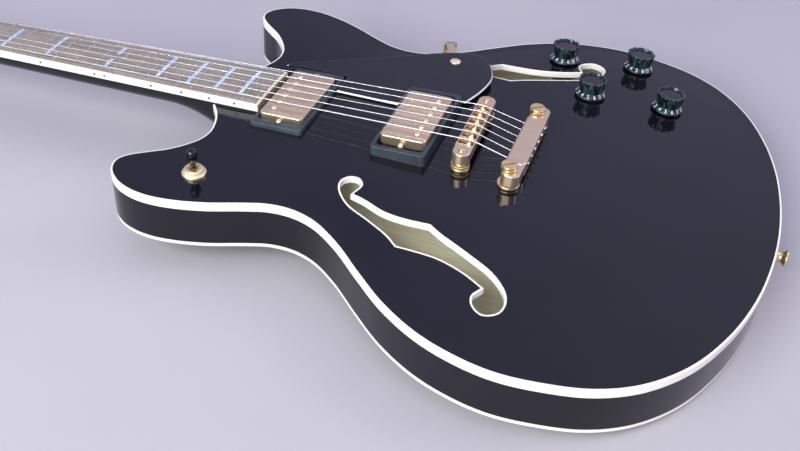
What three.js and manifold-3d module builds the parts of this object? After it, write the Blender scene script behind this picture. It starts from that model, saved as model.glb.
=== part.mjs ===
// A thinline hollow-body electric guitar with a solid block along its middle.
// It lies on its back: the lower bout and the tip of the headstock touch the table.
// All lengths are millimetres and +Z points up.
//
// Three frames are used. In the body frame X runs from the nut to the tail, Y from the
// bass side to the treble side, and Z = 0 is the top edge of the sides. In the neck frame
// the nut is at X = 0 and Z = 0 is the plane of the fretboard's edges. In the head frame
// X = 0 is where the headstock starts, and Z = 0 is its face.

import * as THREE from 'three';
import { mergeVertices } from 'three/addons/utils/BufferGeometryUtils.js';
import Module from 'manifold-3d';

const wasm = await Module();
wasm.setup();

const degrees = THREE.MathUtils.degToRad;

// Driving sizes of the whole instrument
const scaleLength = 628.65;
const fretCount = 22;
const stringCount = 6;
const neckAngle = degrees(4.4);
const boardEndOverRim = 10.88;
const bodyLength = 488.5;
const lowerBoutWidth = 432;
const sideDepth = 42;
const seat = 0.3;
const overrun = 1;
const weldTolerance = 0.0005;

// Body shell
const topThickness = 6;
const topCrown = 12;
const backThickness = 4;
const backCrown = 10;
const sideThickness = 5;
const bindingThickness = 1.6;
const topBindingHeight = 7;
const backBindingHeight = 3.6;
const flatMargin = 8;
const archCell = 9;
const facetSize = 27;
const archRounds = 900;
const outlineDivisions = 1;

// Centre block
const blockWidth = 124;
const wireChannel = 9;
const wireChannelDepth = 16;

// F-holes
const fHoleLength = 153;
const fHoleWidth = 98;
const fHolePlaceShares = [0.3439, 0.5787];
const fHoleBinding = 1.2;
const fHoleDivisions = 2;

// Neck and fretboard
const boardThickness = 6;
const boardOverhang = 5.36;
const boardOverBody = 72.6;
const boardNutWidth = 42.6;
const boardEndWidth = 56.8;
const boardRadius = 305;
const boardArcSteps = 2;
const fretWidth = 2;
const fretHeight = 1.1;
const fretSink = 0.5;
const fretEndInset = 1.4;
const nutThickness = 5;
const nutDepth = 5;
const nutTop = 1.3;
const neckDepthAtNut = 14.5;
const neckDepthAtHeel = 18;
const neckStations = 5;
const neckRingSteps = 12;
const neckRoundness = 0.82;
const heelLength = 46;
const heelDepth = 39;
const heelStations = 6;
const tenonWidth = 40;
const tenonDepth = 28;
const tenonToRing = 1.4;
const tongueDepth = 9;

// Headstock and tuners
const headAngle = degrees(14);
const headLength = 188;
const headWidth = 78;
const headThickness = 14.5;
const headStart = 5;
const headDivisions = 2;
const tunerCountPerSide = 3;
const firstPostAlong = 44;
const postPitch = 40;
const postSpread = 46;
const postRadius = 3;
const postHeight = 12;
const postCapHeight = 2;
const stringWrapHeight = 6.5;
const gearRadius = 4.6;
const gearThickness = 3;
const wormRadius = 2.1;
const tunerPlateThickness = 1.2;
const tunerPlateWidth = 20;
const tunerPlateMargin = 12;
const tunerShellLength = 21;
const tunerShellWidth = 17;
const tunerShellHeight = 8;
const tunerShellWall = 1.2;
const tunerShaftRadius = 2;
const tunerButtonReach = 14;
const tunerButtonLength = 17;
const tunerButtonWidth = 19;
const tunerButtonThickness = 6.5;
const tunerButtonBevel = 1.4;

// Strings, from the heaviest to the lightest
const heaviestStringRadius = 0.584;
const stringGaugeShares = [1, 0.783, 0.565, 0.37, 0.283, 0.217];
const stringSpreadAtNut = 35.5;
const stringSpreadAtBridge = 50.5;
const stringRiseAtBridge = 4.9;
const stringArcSteps = 3;

// Bridge
const bridgeCompensation = 2.9;
const bridgeSlant = degrees(1.9);
const bridgePostSpread = 73.6;
const bridgeEndRadius = 7.1;
const bridgeHeight = 9.4;
const bridgeBevel = 0.8;
const bridgePostRadius = 2.3;
const bridgePostDepth = 24;
const bridgePostProud = 1.1;
const thumbwheelRadius = 7.3;
const thumbwheelThickness = 4.3;
const postCollarRadius = 4.6;
const postCollarHeight = 2;
const saddleWidth = 5.6;
const saddleLength = 4.4;
const saddleSlotLength = 11.8;
const saddleSlotDepth = 7;
const saddleTravel = 1.3;
const saddleCrest = 0.8;
const crestSetback = 1.2;
const saddlePlaceShares = [1, 0.7, 0.45, 0.6, 0.3, 0];
const crestSetbackShares = [1, 1, 1, 0, 0, 0];

// Tailpiece
const tailpieceFromBridge = 39.75;
const tailStudSpread = 83;
const tailBarWidth = 16.2;
const tailBarLength = 68;
const tailBarOffset = 2.7;
const tailBarHeight = 12.2;
const tailBarBevel = 1.6;
const tailBarDrop = 0.2;
const tailEarWidth = 14.7;
const tailEarReach = 9.2;
const tailEarHeight = 10.8;
const tailStringHole = 1.7;
const tailStringShare = 0.7;
const tailStudRadius = 3.6;
const tailStudLift = 0.9;
const tailStudHeadRadius = 6.2;
const tailStudHeadHeight = 4.1;
const tailFlangeRadius = 8;
const tailFlangeHeight = 2.2;
const tailBushingRadius = 5.6;
const tailBushingDepth = 22;

// Pickups
const coverWidth = 38;
const coverLength = 70;
const coverHeight = 17;
const coverCorner = 4;
const coverBevel = 0.9;
const coverWall = 0.9;
const neckPickupFromBoard = 25.2;
const neckPickupTop = -0.8;
const neckRingTop = -4.4;
const bridgePickupFromBridge = 45.95;
const bridgePickupTop = 1.2;
const bridgeRingTop = -6.4;
const poleOffset = 9.5;
const poleRadius = 2.3;
const poleHoleRadius = 2.9;
const polePitch = 10.1;
const poleProud = 0.6;
const poleDepth = 6;
const bobbinWidth = 15.4;
const bobbinLength = 63;
const bobbinHeight = 10;
const basePlateThickness = 1.6;
const earLength = 84;
const earWidth = 20;
const ringWidth = 46;
const ringLength = 90;
const ringGap = 0.6;
const ringCorner = 2.5;
const ringScrewSpread = 79;
const ringScrewRadius = 1.3;
const cavityDepth = 21;
const cavityClearance = 1.5;

// Controls
const knobPlaceShares = {
  volume_knob_neck: [0.5773, 0.7731], tone_knob_neck: [0.7093, 0.8495],
  volume_knob_bridge: [0.6489, 0.5208], tone_knob_bridge: [0.781, 0.5718],
};
const wireRuns = [
  ['volume_knob_neck', 'volume_knob_bridge'], ['volume_knob_bridge', 'tone_knob_bridge'],
  ['tone_knob_bridge', 'tone_knob_neck'],
];
const knobLift = 1.3;
const knobHeight = 15.3;
const knobSkirtRadius = 13.2;
const knobSkirtHeight = 3.4;
const knobTopRadius = 9.4;
const knobBaseRadius = 10.4;
const knobScallops = 10;
const knobScallopDepth = 0.9;
const shaftRadius = 3;
const shaftDepth = 13;
const potRadius = 12;
const potHeight = 9;
const potBushingRadius = 4.6;
const potWall = 1.5;
const wireRadius = 2;
const turnedSides = 24;
const smallSides = 16;
const fineSides = 12;
const holeSides = 8;

// Selector switch
const switchPlaceShares = [0.1296, -0.5431];
const switchWasherRadius = 9.6;
const switchWasherThickness = 1.2;
const switchNutRadius = 7.4;
const switchNutHeight = 2.6;
const switchBushingRadius = 5.8;
const switchBushingTop = 5.4;
const switchThroatRadius = 3.7;
const switchWaistRadius = 2.2;
const switchBodyLength = 24;
const switchBodyWidth = 14;
const switchBodyDepth = 20;
const leverRadius = 1.5;
const leverBelow = 8;
const leverTipStart = 7;
const leverTipLength = 17.5;
const leverTipRadius = 4;
const leverNeckRadius = 2.7;

// Pickguard
const guardThickness = 2.4;
const guardHeight = 11.6;
const guardLength = 170;
const guardReach = 78;
const guardBeforePickup = 33.8;
const guardInnerEdge = 22.5;
const guardGap = 0.8;
const guardScrewShares = [0.7806, 0.7526];
const guardScrewRadius = 2;
const guardScrewHeadRadius = 4.2;
const guardScrewHeadHeight = 1.8;
const bracketThickness = 1.6;
const bracketWidth = 12;
const bracketDrop = 26;
const bracketPlaceShares = [0.3623, 0.6352];
const bracketFootThickness = 3;

// Strap button and output jack
const buttonHeight = 19;
const buttonHeadRadius = 6.6;
const buttonWaistRadius = 3.6;
const buttonBaseRadius = 5;
const buttonLength = 13;
const buttonScrewRadius = 2.1;
const buttonScrewLength = 26;
const jackPlaceShares = [0.6776, 1];
const jackFlangeRadius = 9;
const jackFlangeThickness = 1.5;
const jackNutRadius = 6.2;
const jackNutThickness = 3;
const jackBarrelRadius = 4.8;
const jackBarrelLength = 24;
const jackBoreRadius = 3.3;
const jackBoreLength = 22;

// Half of the body's outline from the neck joint to the tail. Each pair is a share of the
// body's length behind the horn tips and a share of half the lower bout's width.
const outlineShares = [
  [0.0614, 0.1296], [0.0798, 0.1852], [0.0911, 0.25], [0.0942, 0.2963], [0.0901, 0.3449],
  [0.0788, 0.3912], [0.0573, 0.4491], [0.0328, 0.4931], [0.0102, 0.537], [0.001, 0.5694],
  [0, 0.6019], [0.0082, 0.6435], [0.0307, 0.6875], [0.0573, 0.7106], [0.088, 0.7176],
  [0.1269, 0.706], [0.176, 0.6722], [0.2293, 0.6185], [0.262, 0.5894], [0.2886, 0.5801],
  [0.3132, 0.5833], [0.346, 0.6065], [0.391, 0.6713], [0.4442, 0.7731], [0.4974, 0.8681],
  [0.5589, 0.9444], [0.6203, 0.9861], [0.6776, 1], [0.739, 0.9838], [0.8025, 0.9444],
  [0.8598, 0.8681], [0.913, 0.7384], [0.9539, 0.5648], [0.9806, 0.3796], [0.9949, 0.1944],
  [1, 0],
];

// The f-hole's edge as four smooth runs that meet at its two notches and two kinks.
// Each pair is a share of the hole's length and a share of its width.
const fHoleRunShares = [
  [[0.103, 0.182], [0.167, 0.209], [0.288, 0.283], [0.403, 0.305], [0.526, 0.298]],
  [[0.526, 0.298], [0.59, 0.361], [0.745, 0.479], [0.899, 0.612], [0.982, 0.754], [1, 0.87],
    [0.98, 0.955], [0.918, 1], [0.859, 0.944], [0.84, 0.857], [0.868, 0.767]],
  [[0.868, 0.767], [0.763, 0.684], [0.635, 0.621], [0.515, 0.605], [0.421, 0.602]],
  [[0.421, 0.602], [0.356, 0.521], [0.235, 0.416], [0.094, 0.302], [0.012, 0.153],
    [0.006, 0.061], [0.044, 0.001], [0.092, 0.005], [0.123, 0.071], [0.103, 0.182]],
];

// The pickguard's outer edge from the bridge end round to the neck end, as shares of the
// guard's length and of its reach beyond the pickup rings.
const guardEdgeShares = [
  [0.945, 0], [0.98, 0.23], [0.997, 0.41], [1, 0.56], [0.98, 0.72], [0.95, 0.85],
  [0.9, 0.965], [0.85, 1], [0.8, 0.99], [0.74, 0.945], [0.68, 0.885], [0.58, 0.76],
  [0.44, 0.57], [0.28, 0.37], [0.12, 0.18], [0.03, 0.07], [0, 0],
];

// Half of the headstock's outline, as shares of its length and of half its width.
const headShares = [
  [0, 0.56], [0.07, 0.62], [0.15, 0.83], [0.23, 0.95], [0.4, 0.99], [0.6, 1], [0.78, 0.99],
  [0.9, 0.93], [0.965, 0.74], [0.99, 0.42], [1, 0],
];

// Finishes
const finish = (color, roughness, metalness) =>
  new THREE.MeshStandardMaterial({ color, roughness, metalness });
const blackLacquer = finish(0x0d0d12, 0.12, 0);
const creamBinding = finish(0xf0ecd8, 0.35, 0);
const rosewood = finish(0x4a3427, 0.5, 0);
const maple = finish(0xc2ab7c, 0.6, 0);
const bone = finish(0xe8e0c8, 0.4, 0);
const gold = finish(0xd9b77c, 0.22, 1);
const goldBar = finish(0xd3ae86, 0.18, 1);
const steel = finish(0xc9c9c9, 0.28, 1);
const blackPlastic = finish(0x101114, 0.28, 0);
const ringPlastic = finish(0x17191c, 0.4, 0);
const coilBlack = finish(0x18140f, 0.6, 0);
const potSteel = finish(0x9c9a94, 0.4, 1);

const bodyGroup = new THREE.Group();

// Welds equal corners, drops collapsed triangles and turns every face outwards.
function weld(geometry) {
  const bare = geometry.clone();
  for (const name of Object.keys(bare.attributes)) {
    if (name !== 'position') bare.deleteAttribute(name);
  }
  bare.morphAttributes = {};
  bare.clearGroups();
  const merged = mergeVertices(bare, weldTolerance);
  const index = merged.index.array;
  const kept = [];
  for (let i = 0; i < index.length; i += 3) {
    const [a, b, c] = [index[i], index[i + 1], index[i + 2]];
    if (a !== b && b !== c && c !== a) kept.push(a, b, c);
  }
  merged.setIndex(kept);
  if (signedVolume(merged) < 0) {
    for (let i = 0; i < kept.length; i += 3) {
      [kept[i + 1], kept[i + 2]] = [kept[i + 2], kept[i + 1]];
    }
    merged.setIndex(kept);
  }
  return merged;
}

function signedVolume(geometry) {
  const position = geometry.attributes.position;
  const index = geometry.index.array;
  const [a, b, c] = [new THREE.Vector3(), new THREE.Vector3(), new THREE.Vector3()];
  let volume = 0;
  for (let i = 0; i < index.length; i += 3) {
    a.fromBufferAttribute(position, index[i]);
    b.fromBufferAttribute(position, index[i + 1]);
    c.fromBufferAttribute(position, index[i + 2]);
    volume += a.dot(b.cross(c)) / 6;
  }
  return volume;
}

// A solid for joining and cutting, in the body frame once its matrix is applied.
function solid(geometry, matrix) {
  const placed = matrix ? geometry.clone().applyMatrix4(matrix) : geometry;
  const welded = weld(placed);
  return new wasm.Manifold(new wasm.Mesh({
    numProp: 3,
    vertProperties: new Float32Array(welded.attributes.position.array),
    triVerts: new Uint32Array(welded.index.array),
  }));
}

function geometryOf(body) {
  const mesh = body.getMesh();
  const geometry = new THREE.BufferGeometry();
  geometry.setAttribute('position', new THREE.BufferAttribute(mesh.vertProperties, 3));
  geometry.setIndex(new THREE.BufferAttribute(mesh.triVerts, 1));
  return geometry;
}

function addPiece(name, shape, material, parent = bodyGroup) {
  const geometry = shape.isBufferGeometry ? weld(shape) : geometryOf(shape);
  geometry.computeVertexNormals();
  const mesh = new THREE.Mesh(geometry, material);
  mesh.name = name;
  parent.add(mesh);
  return mesh;
}

// Shape helpers
const point = (x, y) => new THREE.Vector2(x, y);
const place = (x, y, z) => new THREE.Matrix4().makeTranslation(x, y, z);

function joined(bodies) {
  return bodies.reduce((sum, next) => sum.add(next));
}

function prism(points, bottom, top) {
  const geometry = new THREE.ExtrudeGeometry(new THREE.Shape(points), {
    depth: top - bottom, bevelEnabled: false,
  });
  return geometry.translate(0, 0, bottom);
}

function bevelled(points, bottom, top, bevel) {
  const geometry = new THREE.ExtrudeGeometry(new THREE.Shape(points), {
    depth: top - bottom - 2 * bevel,
    bevelThickness: bevel,
    bevelSize: bevel,
    bevelOffset: -bevel,
    bevelSegments: 1,
  });
  return geometry.translate(0, 0, bottom + bevel);
}

function rectangle(width, length, corner = 0, cornerSteps = 1) {
  const [x, y] = [width / 2, length / 2];
  if (!corner) return [point(-x, -y), point(x, -y), point(x, y), point(-x, y)];
  const shape = new THREE.Shape();
  shape.absarc(x - corner, -y + corner, corner, -Math.PI / 2, 0);
  shape.absarc(x - corner, y - corner, corner, 0, Math.PI / 2);
  shape.absarc(-x + corner, y - corner, corner, Math.PI / 2, Math.PI);
  shape.absarc(-x + corner, -y + corner, corner, Math.PI, Math.PI * 1.5);
  return shape.getPoints(cornerSteps);
}

function box(x0, x1, y0, y1, z0, z1) {
  return new THREE.BoxGeometry(x1 - x0, y1 - y0, z1 - z0)
    .translate((x0 + x1) / 2, (y0 + y1) / 2, (z0 + z1) / 2);
}

// A turned piece about Z. The profile is a list of [radius, height] from axis to axis.
function turned(profile, sides = turnedSides) {
  const points = profile.map(([radius, height]) => point(radius, height));
  return new THREE.LatheGeometry(points, sides).rotateX(Math.PI / 2);
}

function rod(radius, bottom, top, sides = turnedSides) {
  return turned([[0, bottom], [radius, bottom], [radius, top], [0, top]], sides);
}

// A round bar between two points.
function bar(from, to, radius, sides = fineSides) {
  const length = from.distanceTo(to);
  const turn = new THREE.Quaternion().setFromUnitVectors(
    new THREE.Vector3(0, 0, 1), to.clone().sub(from).normalize());
  const matrix = new THREE.Matrix4().compose(from, turn, new THREE.Vector3(1, 1, 1));
  return rod(radius, 0, length, sides).applyMatrix4(matrix);
}

// Joins equal loops of points into one closed skin with flat ends.
function loft(loops) {
  const count = loops[0].length;
  const positions = [];
  const index = [];
  for (const loop of loops) {
    for (const corner of loop) positions.push(corner.x, corner.y, corner.z);
  }
  for (let ring = 0; ring + 1 < loops.length; ring += 1) {
    for (let i = 0; i < count; i += 1) {
      const a = ring * count + i;
      const b = ring * count + (i + 1) % count;
      index.push(a, b, b + count, a, b + count, a + count);
    }
  }
  for (const [ring, flip] of [[0, true], [loops.length - 1, false]]) {
    const base = ring * count;
    for (let i = 1; i + 1 < count; i += 1) {
      const tail = flip ? [base + i + 1, base + i] : [base + i, base + i + 1];
      index.push(base, ...tail);
    }
  }
  const geometry = new THREE.BufferGeometry();
  geometry.setAttribute('position', new THREE.Float32BufferAttribute(positions, 3));
  geometry.setIndex(index);
  return geometry;
}

function smoothRun(points, divisions, closed = false) {
  const corners = points.map(p => new THREE.Vector3(p.x, p.y, 0));
  const curve = new THREE.CatmullRomCurve3(corners, closed);
  const segments = closed ? points.length : points.length - 1;
  return curve.getPoints(segments * divisions).map(p => point(p.x, p.y));
}

// Moves a closed loop inwards by a distance, keeping its corners square.
function inset(loop, distance) {
  const winding = THREE.ShapeUtils.isClockWise(loop) ? -1 : 1;
  const count = loop.length;
  const normals = loop.map((p, i) => {
    const edge = loop[(i + 1) % count].clone().sub(p).normalize();
    return point(-edge.y * winding, edge.x * winding);
  });
  return loop.map((p, i) => {
    const [before, after] = [normals[(i + count - 1) % count], normals[i]];
    const shift = distance / (1 + before.dot(after));
    return p.clone().add(before.clone().add(after).multiplyScalar(shift));
  });
}

function isInside(loop, x, y) {
  let inside = false;
  for (let i = 0, j = loop.length - 1; i < loop.length; j = i, i += 1) {
    const [p, q] = [loop[i], loop[j]];
    const crosses = (p.y > y) !== (q.y > y);
    if (crosses && x < (q.x - p.x) * (y - p.y) / (q.y - p.y) + p.x) inside = !inside;
  }
  return inside;
}

// The body's outline: one smooth line round from the neck joint's treble corner, by the
// tail, to its bass corner, closed straight across the neck joint.
// Places along the strings, from the nut
const fretAt = n => scaleLength * (1 - 2 ** (-n / 12));
const boardLength = fretAt(fretCount) + boardOverhang;
const hornTipFromNut = boardLength - boardOverBody;
const bridgeAt = scaleLength + bridgeCompensation;
const tailpieceFromNut = bridgeAt + tailpieceFromBridge;
const neckPickupAt = boardLength + neckPickupFromBoard;
const bridgePickupAt = bridgeAt - bridgePickupFromBridge;
const guardStart = neckPickupAt - guardBeforePickup;

const halfWidth = lowerBoutWidth / 2;
const onBody = ([along, out]) => point(hornTipFromNut + bodyLength * along, halfWidth * out);
const trebleHalf = outlineShares.map(onBody);
const bassHalf = trebleHalf.slice(0, -1).reverse().map(p => point(p.x, -p.y));
const outline = smoothRun([...trebleHalf, ...bassHalf], outlineDivisions);
const bodyFront = trebleHalf[0].x;
const tailEnd = hornTipFromNut + bodyLength;

// The arch of the plates is the shape of a skin blown up from a flat margin round the
// edge: each cell settles at the mean of its neighbours plus a steady lift.
const archLoop = inset(outline, flatMargin);
const archColumns = Math.ceil(bodyLength / archCell) + 3;
const archRows = 2 * Math.ceil(halfWidth / archCell) + 3;
const archX = column => hornTipFromNut + (column - 1) * archCell;
const archY = row => (row - (archRows - 1) / 2) * archCell;

function solveArch() {
  const size = archColumns * archRows;
  const free = new Uint8Array(size);
  const lift = new Float64Array(size);
  for (let c = 0; c < archColumns; c += 1) {
    for (let r = 0; r < archRows; r += 1) {
      free[c * archRows + r] = isInside(archLoop, archX(c), archY(r)) ? 1 : 0;
    }
  }
  const relaxation = 1.9;
  for (let round = 0; round < archRounds; round += 1) {
    for (let i = archRows; i < size - archRows; i += 1) {
      if (!free[i]) continue;
      const mean = (lift[i - 1] + lift[i + 1] + lift[i - archRows] + lift[i + archRows]) / 4;
      lift[i] += relaxation * (mean + 1 - lift[i]);
    }
  }
  const peak = lift.reduce((most, value) => Math.max(most, value), 0);
  return lift.map(value => value / peak);
}

const archField = solveArch();

function archShare(x, y) {
  const column = (x - hornTipFromNut) / archCell + 1;
  const row = y / archCell + (archRows - 1) / 2;
  const [c, r] = [Math.floor(column), Math.floor(row)];
  if (c < 0 || r < 0 || c + 1 >= archColumns || r + 1 >= archRows) return 0;
  const [u, v] = [column - c, row - r];
  const i = c * archRows + r;
  const near = archField[i] * (1 - v) + archField[i + 1] * v;
  const far = archField[i + archRows] * (1 - v) + archField[i + archRows + 1] * v;
  return near * (1 - u) + far * u;
}

// The plates are made of flat facets whose corners lie on the arch.
const facetX = column => hornTipFromNut + (column - 1) * facetSize;
const facetY = row => row * facetSize;

function facetShare(x, y) {
  const column = (x - hornTipFromNut) / facetSize + 1;
  const row = y / facetSize;
  const [c, r] = [Math.floor(column), Math.floor(row)];
  const [u, v] = [column - c, row - r];
  const corner = (i, j) => archShare(facetX(c + i), facetY(r + j));
  const [start, end] = [corner(0, 0), corner(1, 1)];
  const side = u > v ? corner(1, 0) : corner(0, 1);
  const [first, second] = [Math.max(u, v), Math.min(u, v)];
  return start + first * (side - start) + second * (end - side);
}

const topAt = (x, y) => topCrown * facetShare(x, y);
const backAt = (x, y) => -sideDepth - backCrown * facetShare(x, y);

// A slab between two curved surfaces that covers the whole body.
function archedSlab(upper, lower) {
  const columns = Math.ceil((bodyLength + 2 * facetSize) / facetSize);
  const halfRows = Math.ceil((halfWidth + facetSize) / facetSize);
  const rows = 2 * halfRows;
  const positions = [];
  for (const surface of [upper, lower]) {
    for (let c = 0; c <= columns; c += 1) {
      for (let r = 0; r <= rows; r += 1) {
        const [x, y] = [facetX(c), facetY(r - halfRows)];
        positions.push(x, y, surface(x, y));
      }
    }
  }
  const layer = (columns + 1) * (rows + 1);
  const at = (c, r, side) => side * layer + c * (rows + 1) + r;
  const index = [];
  const quad = (a, b, c, d) => index.push(a, b, c, a, c, d);
  for (let c = 0; c < columns; c += 1) {
    for (let r = 0; r < rows; r += 1) {
      quad(at(c, r, 0), at(c + 1, r, 0), at(c + 1, r + 1, 0), at(c, r + 1, 0));
      quad(at(c, r, 1), at(c, r + 1, 1), at(c + 1, r + 1, 1), at(c + 1, r, 1));
    }
    quad(at(c, 0, 1), at(c + 1, 0, 1), at(c + 1, 0, 0), at(c, 0, 0));
    quad(at(c + 1, rows, 1), at(c, rows, 1), at(c, rows, 0), at(c + 1, rows, 0));
  }
  for (let r = 0; r < rows; r += 1) {
    quad(at(0, r + 1, 1), at(0, r, 1), at(0, r, 0), at(0, r + 1, 0));
    quad(at(columns, r, 1), at(columns, r + 1, 1), at(columns, r + 1, 0), at(columns, r, 0));
  }
  const geometry = new THREE.BufferGeometry();
  geometry.setAttribute('position', new THREE.Float32BufferAttribute(positions, 3));
  geometry.setIndex(index);
  return solid(geometry);
}

const farBelow = -2 * sideDepth;
const farAbove = sideDepth;
const topFill = archedSlab((x, y) => topAt(x, y) + seat, () => farBelow);

// Neck, head and seat frames within the body frame
const nutHeight = boardEndOverRim - boardLength * Math.sin(neckAngle);
const neckMatrix = place(0, 0, nutHeight)
  .multiply(new THREE.Matrix4().makeRotationY(-neckAngle));
const headMatrix = neckMatrix.clone()
  .multiply(place(-headStart, 0, -boardThickness))
  .multiply(new THREE.Matrix4().makeRotationY(-headAngle));
const inNeck = (x, y, z) => new THREE.Vector3(x, y, z).applyMatrix4(neckMatrix);
const inHead = (x, y, z) => new THREE.Vector3(x, y, z).applyMatrix4(headMatrix);

// A frame that sits on the top at a place, with Z along the surface's own normal.
function topSeat({ x, y }) {
  const rise = (dx, dy) => topAt(x + dx, y + dy) - topAt(x - dx, y - dy);
  const slopeX = rise(archCell, 0) / (2 * archCell);
  const slopeY = rise(0, archCell) / (2 * archCell);
  const normal = new THREE.Vector3(-slopeX, -slopeY, 1).normalize();
  const turn = new THREE.Quaternion().setFromUnitVectors(new THREE.Vector3(0, 0, 1), normal);
  return new THREE.Matrix4().compose(
    new THREE.Vector3(x, y, topAt(x, y)), turn, new THREE.Vector3(1, 1, 1));
}

const bridgeMatrix = place(bridgeAt, 0, 0)
  .multiply(new THREE.Matrix4().makeRotationZ(bridgeSlant));
const tailMatrix = place(tailpieceFromNut, 0, 0);
const switchPlace = onBody(switchPlaceShares);
const jackPlace = onBody(jackPlaceShares);
const sides = { bass: -1, treble: 1 };

// Openings that go through the top and down into the block
function pickupCavity(along, ringTop) {
  const clear = cavityClearance;
  const floor = -cavityDepth + ringTop;
  const parts = [
    box(-coverWidth / 2 - clear, coverWidth / 2 + clear,
      -coverLength / 2 - clear, coverLength / 2 + clear, floor, farAbove),
    box(-earWidth / 2 - clear, earWidth / 2 + clear,
      -earLength / 2 - clear, earLength / 2 + clear, floor, farAbove),
  ];
  const matrix = neckMatrix.clone().multiply(place(along, 0, 0));
  return joined(parts.map(part => solid(part, matrix)));
}

const cavities = pickupCavity(neckPickupAt, neckRingTop)
  .add(pickupCavity(bridgePickupAt, bridgeRingTop));

const postPlaces = Object.values(sides).map(side =>
  new THREE.Vector3(0, side * bridgePostSpread / 2, 0).applyMatrix4(bridgeMatrix));
const studPlaces = Object.values(sides).map(side =>
  new THREE.Vector3(0, side * tailStudSpread / 2, 0).applyMatrix4(tailMatrix));
const hardwareBores = joined([
  ...postPlaces.map(p => solid(
    rod(bridgePostRadius + seat, -bridgePostDepth - overrun, farAbove, fineSides),
    place(p.x, p.y, 0))),
  ...studPlaces.map(p => solid(
    rod(tailBushingRadius + seat, -tailBushingDepth - overrun, farAbove, fineSides),
    place(p.x, p.y, 0))),
]);

const tenonEnd = inNeck(neckPickupAt - ringWidth / 2, 0, 0).x - tenonToRing;
const pocket = solid(box(bodyFront - overrun, tenonEnd + seat, -tenonWidth / 2 - seat,
  tenonWidth / 2 + seat, -tenonDepth, farAbove));

function fHoleLoop(side) {
  const start = onBody(fHolePlaceShares);
  const inner = start.y - fHoleWidth / 2;
  const runs = fHoleRunShares.map(run => smoothRun(run.map(([along, out]) => point(
    start.x + fHoleLength * along, side * (inner + fHoleWidth * out))), fHoleDivisions));
  return runs.flatMap(run => run.slice(0, -1));
}

const fHoleLoops = { bass: fHoleLoop(sides.bass), treble: fHoleLoop(sides.treble) };

// Body shell
function addShell() {
  const plateLoop = inset(outline, bindingThickness + seat);
  const switchSeat = topSeat(switchPlace);
  const controlBores = joined([
    ...Object.values(knobPlaceShares).map(shares => solid(
      rod(potBushingRadius + seat, -potRadius, potRadius, fineSides),
      topSeat(onBody(shares)))),
    solid(rod(switchBushingRadius + seat, -potRadius, potRadius, turnedSides), switchSeat),
  ]);
  const fHoleCuts = joined(Object.values(fHoleLoops).map(loop =>
    solid(prism(loop, farBelow, farAbove))));

  const topPlate = archedSlab(topAt, (x, y) => topAt(x, y) - topThickness)
    .intersect(solid(prism(plateLoop, farBelow, farAbove)))
    .subtract(fHoleCuts).subtract(controlBores).subtract(cavities)
    .subtract(hardwareBores).subtract(pocket);
  addPiece('top_plate', topPlate, blackLacquer);

  const backPlate = archedSlab((x, y) => backAt(x, y) + backThickness, backAt)
    .intersect(solid(prism(plateLoop, farBelow, farAbove)));
  addPiece('back_plate', backPlate, blackLacquer);

  const innerLoop = inset(outline, sideThickness);
  const rimTop = -topThickness - seat;
  const rimBottom = -sideDepth + backThickness + seat;
  const ledgeTop = -topBindingHeight - seat;
  const ledgeBottom = -sideDepth + backBindingHeight + seat;
  const bendLoop = inset(outline, bindingThickness + seat);
  const core = solid(prism(bendLoop, rimBottom, rimTop))
    .add(solid(prism(outline, Math.max(ledgeBottom, rimBottom), ledgeTop)));
  const buttonBore = solid(rod(buttonScrewRadius + seat, 0, buttonScrewLength, fineSides)
    .rotateY(Math.PI / 2), place(tailEnd - buttonScrewLength / 2, 0, -buttonHeight));
  const jackBore = solid(rod(jackBarrelRadius + seat, 0, jackBarrelLength, fineSides)
    .rotateX(-Math.PI / 2), place(jackPlace.x, jackPlace.y - jackBarrelLength / 2, -sideDepth / 2));
  const rim = core.subtract(solid(prism(innerLoop, farBelow, farAbove)))
    .subtract(pocket).subtract(buttonBore).subtract(jackBore);
  addPiece('rim', rim, blackLacquer);

  const bindingInner = solid(prism(inset(outline, bindingThickness), farBelow, farAbove));
  const topBinding = solid(prism(outline, -topBindingHeight, 0))
    .subtract(bindingInner).subtract(pocket);
  addPiece('top_binding', topBinding, creamBinding);
  const backBinding = solid(prism(outline, -sideDepth, -sideDepth + backBindingHeight))
    .subtract(bindingInner);
  addPiece('back_binding', backBinding, creamBinding);

  for (const [name, loop] of Object.entries(fHoleLoops)) {
    const outer = inset(loop, seat);
    const strip = solid(prism(outer, farBelow, farAbove))
      .subtract(solid(prism(inset(loop, seat + fHoleBinding), 2 * farBelow, 2 * farAbove)))
      .intersect(archedSlab(topAt, (x, y) => topAt(x, y) - topThickness));
    addPiece(`f_hole_binding_${name}`, strip, creamBinding);
  }

  const blockLoop = rectangle(bodyLength, blockWidth)
    .map(p => point(p.x + hornTipFromNut + bodyLength / 2, p.y));
  const channelSide = solid(box(bridgePickupAt - wireChannel / 2,
    bridgePickupAt + wireChannel / 2, 0, blockWidth,
    -wireChannelDepth, -wireChannelDepth + wireChannel));
  const channelLong = solid(box(neckPickupAt, bridgePickupAt, -wireChannel / 2, wireChannel / 2,
    -wireChannelDepth, -wireChannelDepth + wireChannel));
  const buttonHole = solid(rod(buttonScrewRadius + seat, 0, 2 * buttonScrewLength, fineSides)
    .rotateY(-Math.PI / 2), place(tailEnd, 0, -buttonHeight));
  const block = archedSlab((x, y) => topAt(x, y) - topThickness - seat,
    (x, y) => backAt(x, y) + backThickness + seat)
    .intersect(solid(prism(blockLoop, farBelow, farAbove)))
    .intersect(solid(prism(inset(outline, sideThickness + seat), farBelow, farAbove)))
    .subtract(cavities).subtract(hardwareBores).subtract(pocket)
    .subtract(channelSide).subtract(channelLong).subtract(buttonHole);
  addPiece('centre_block', block, maple);
}

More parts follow.
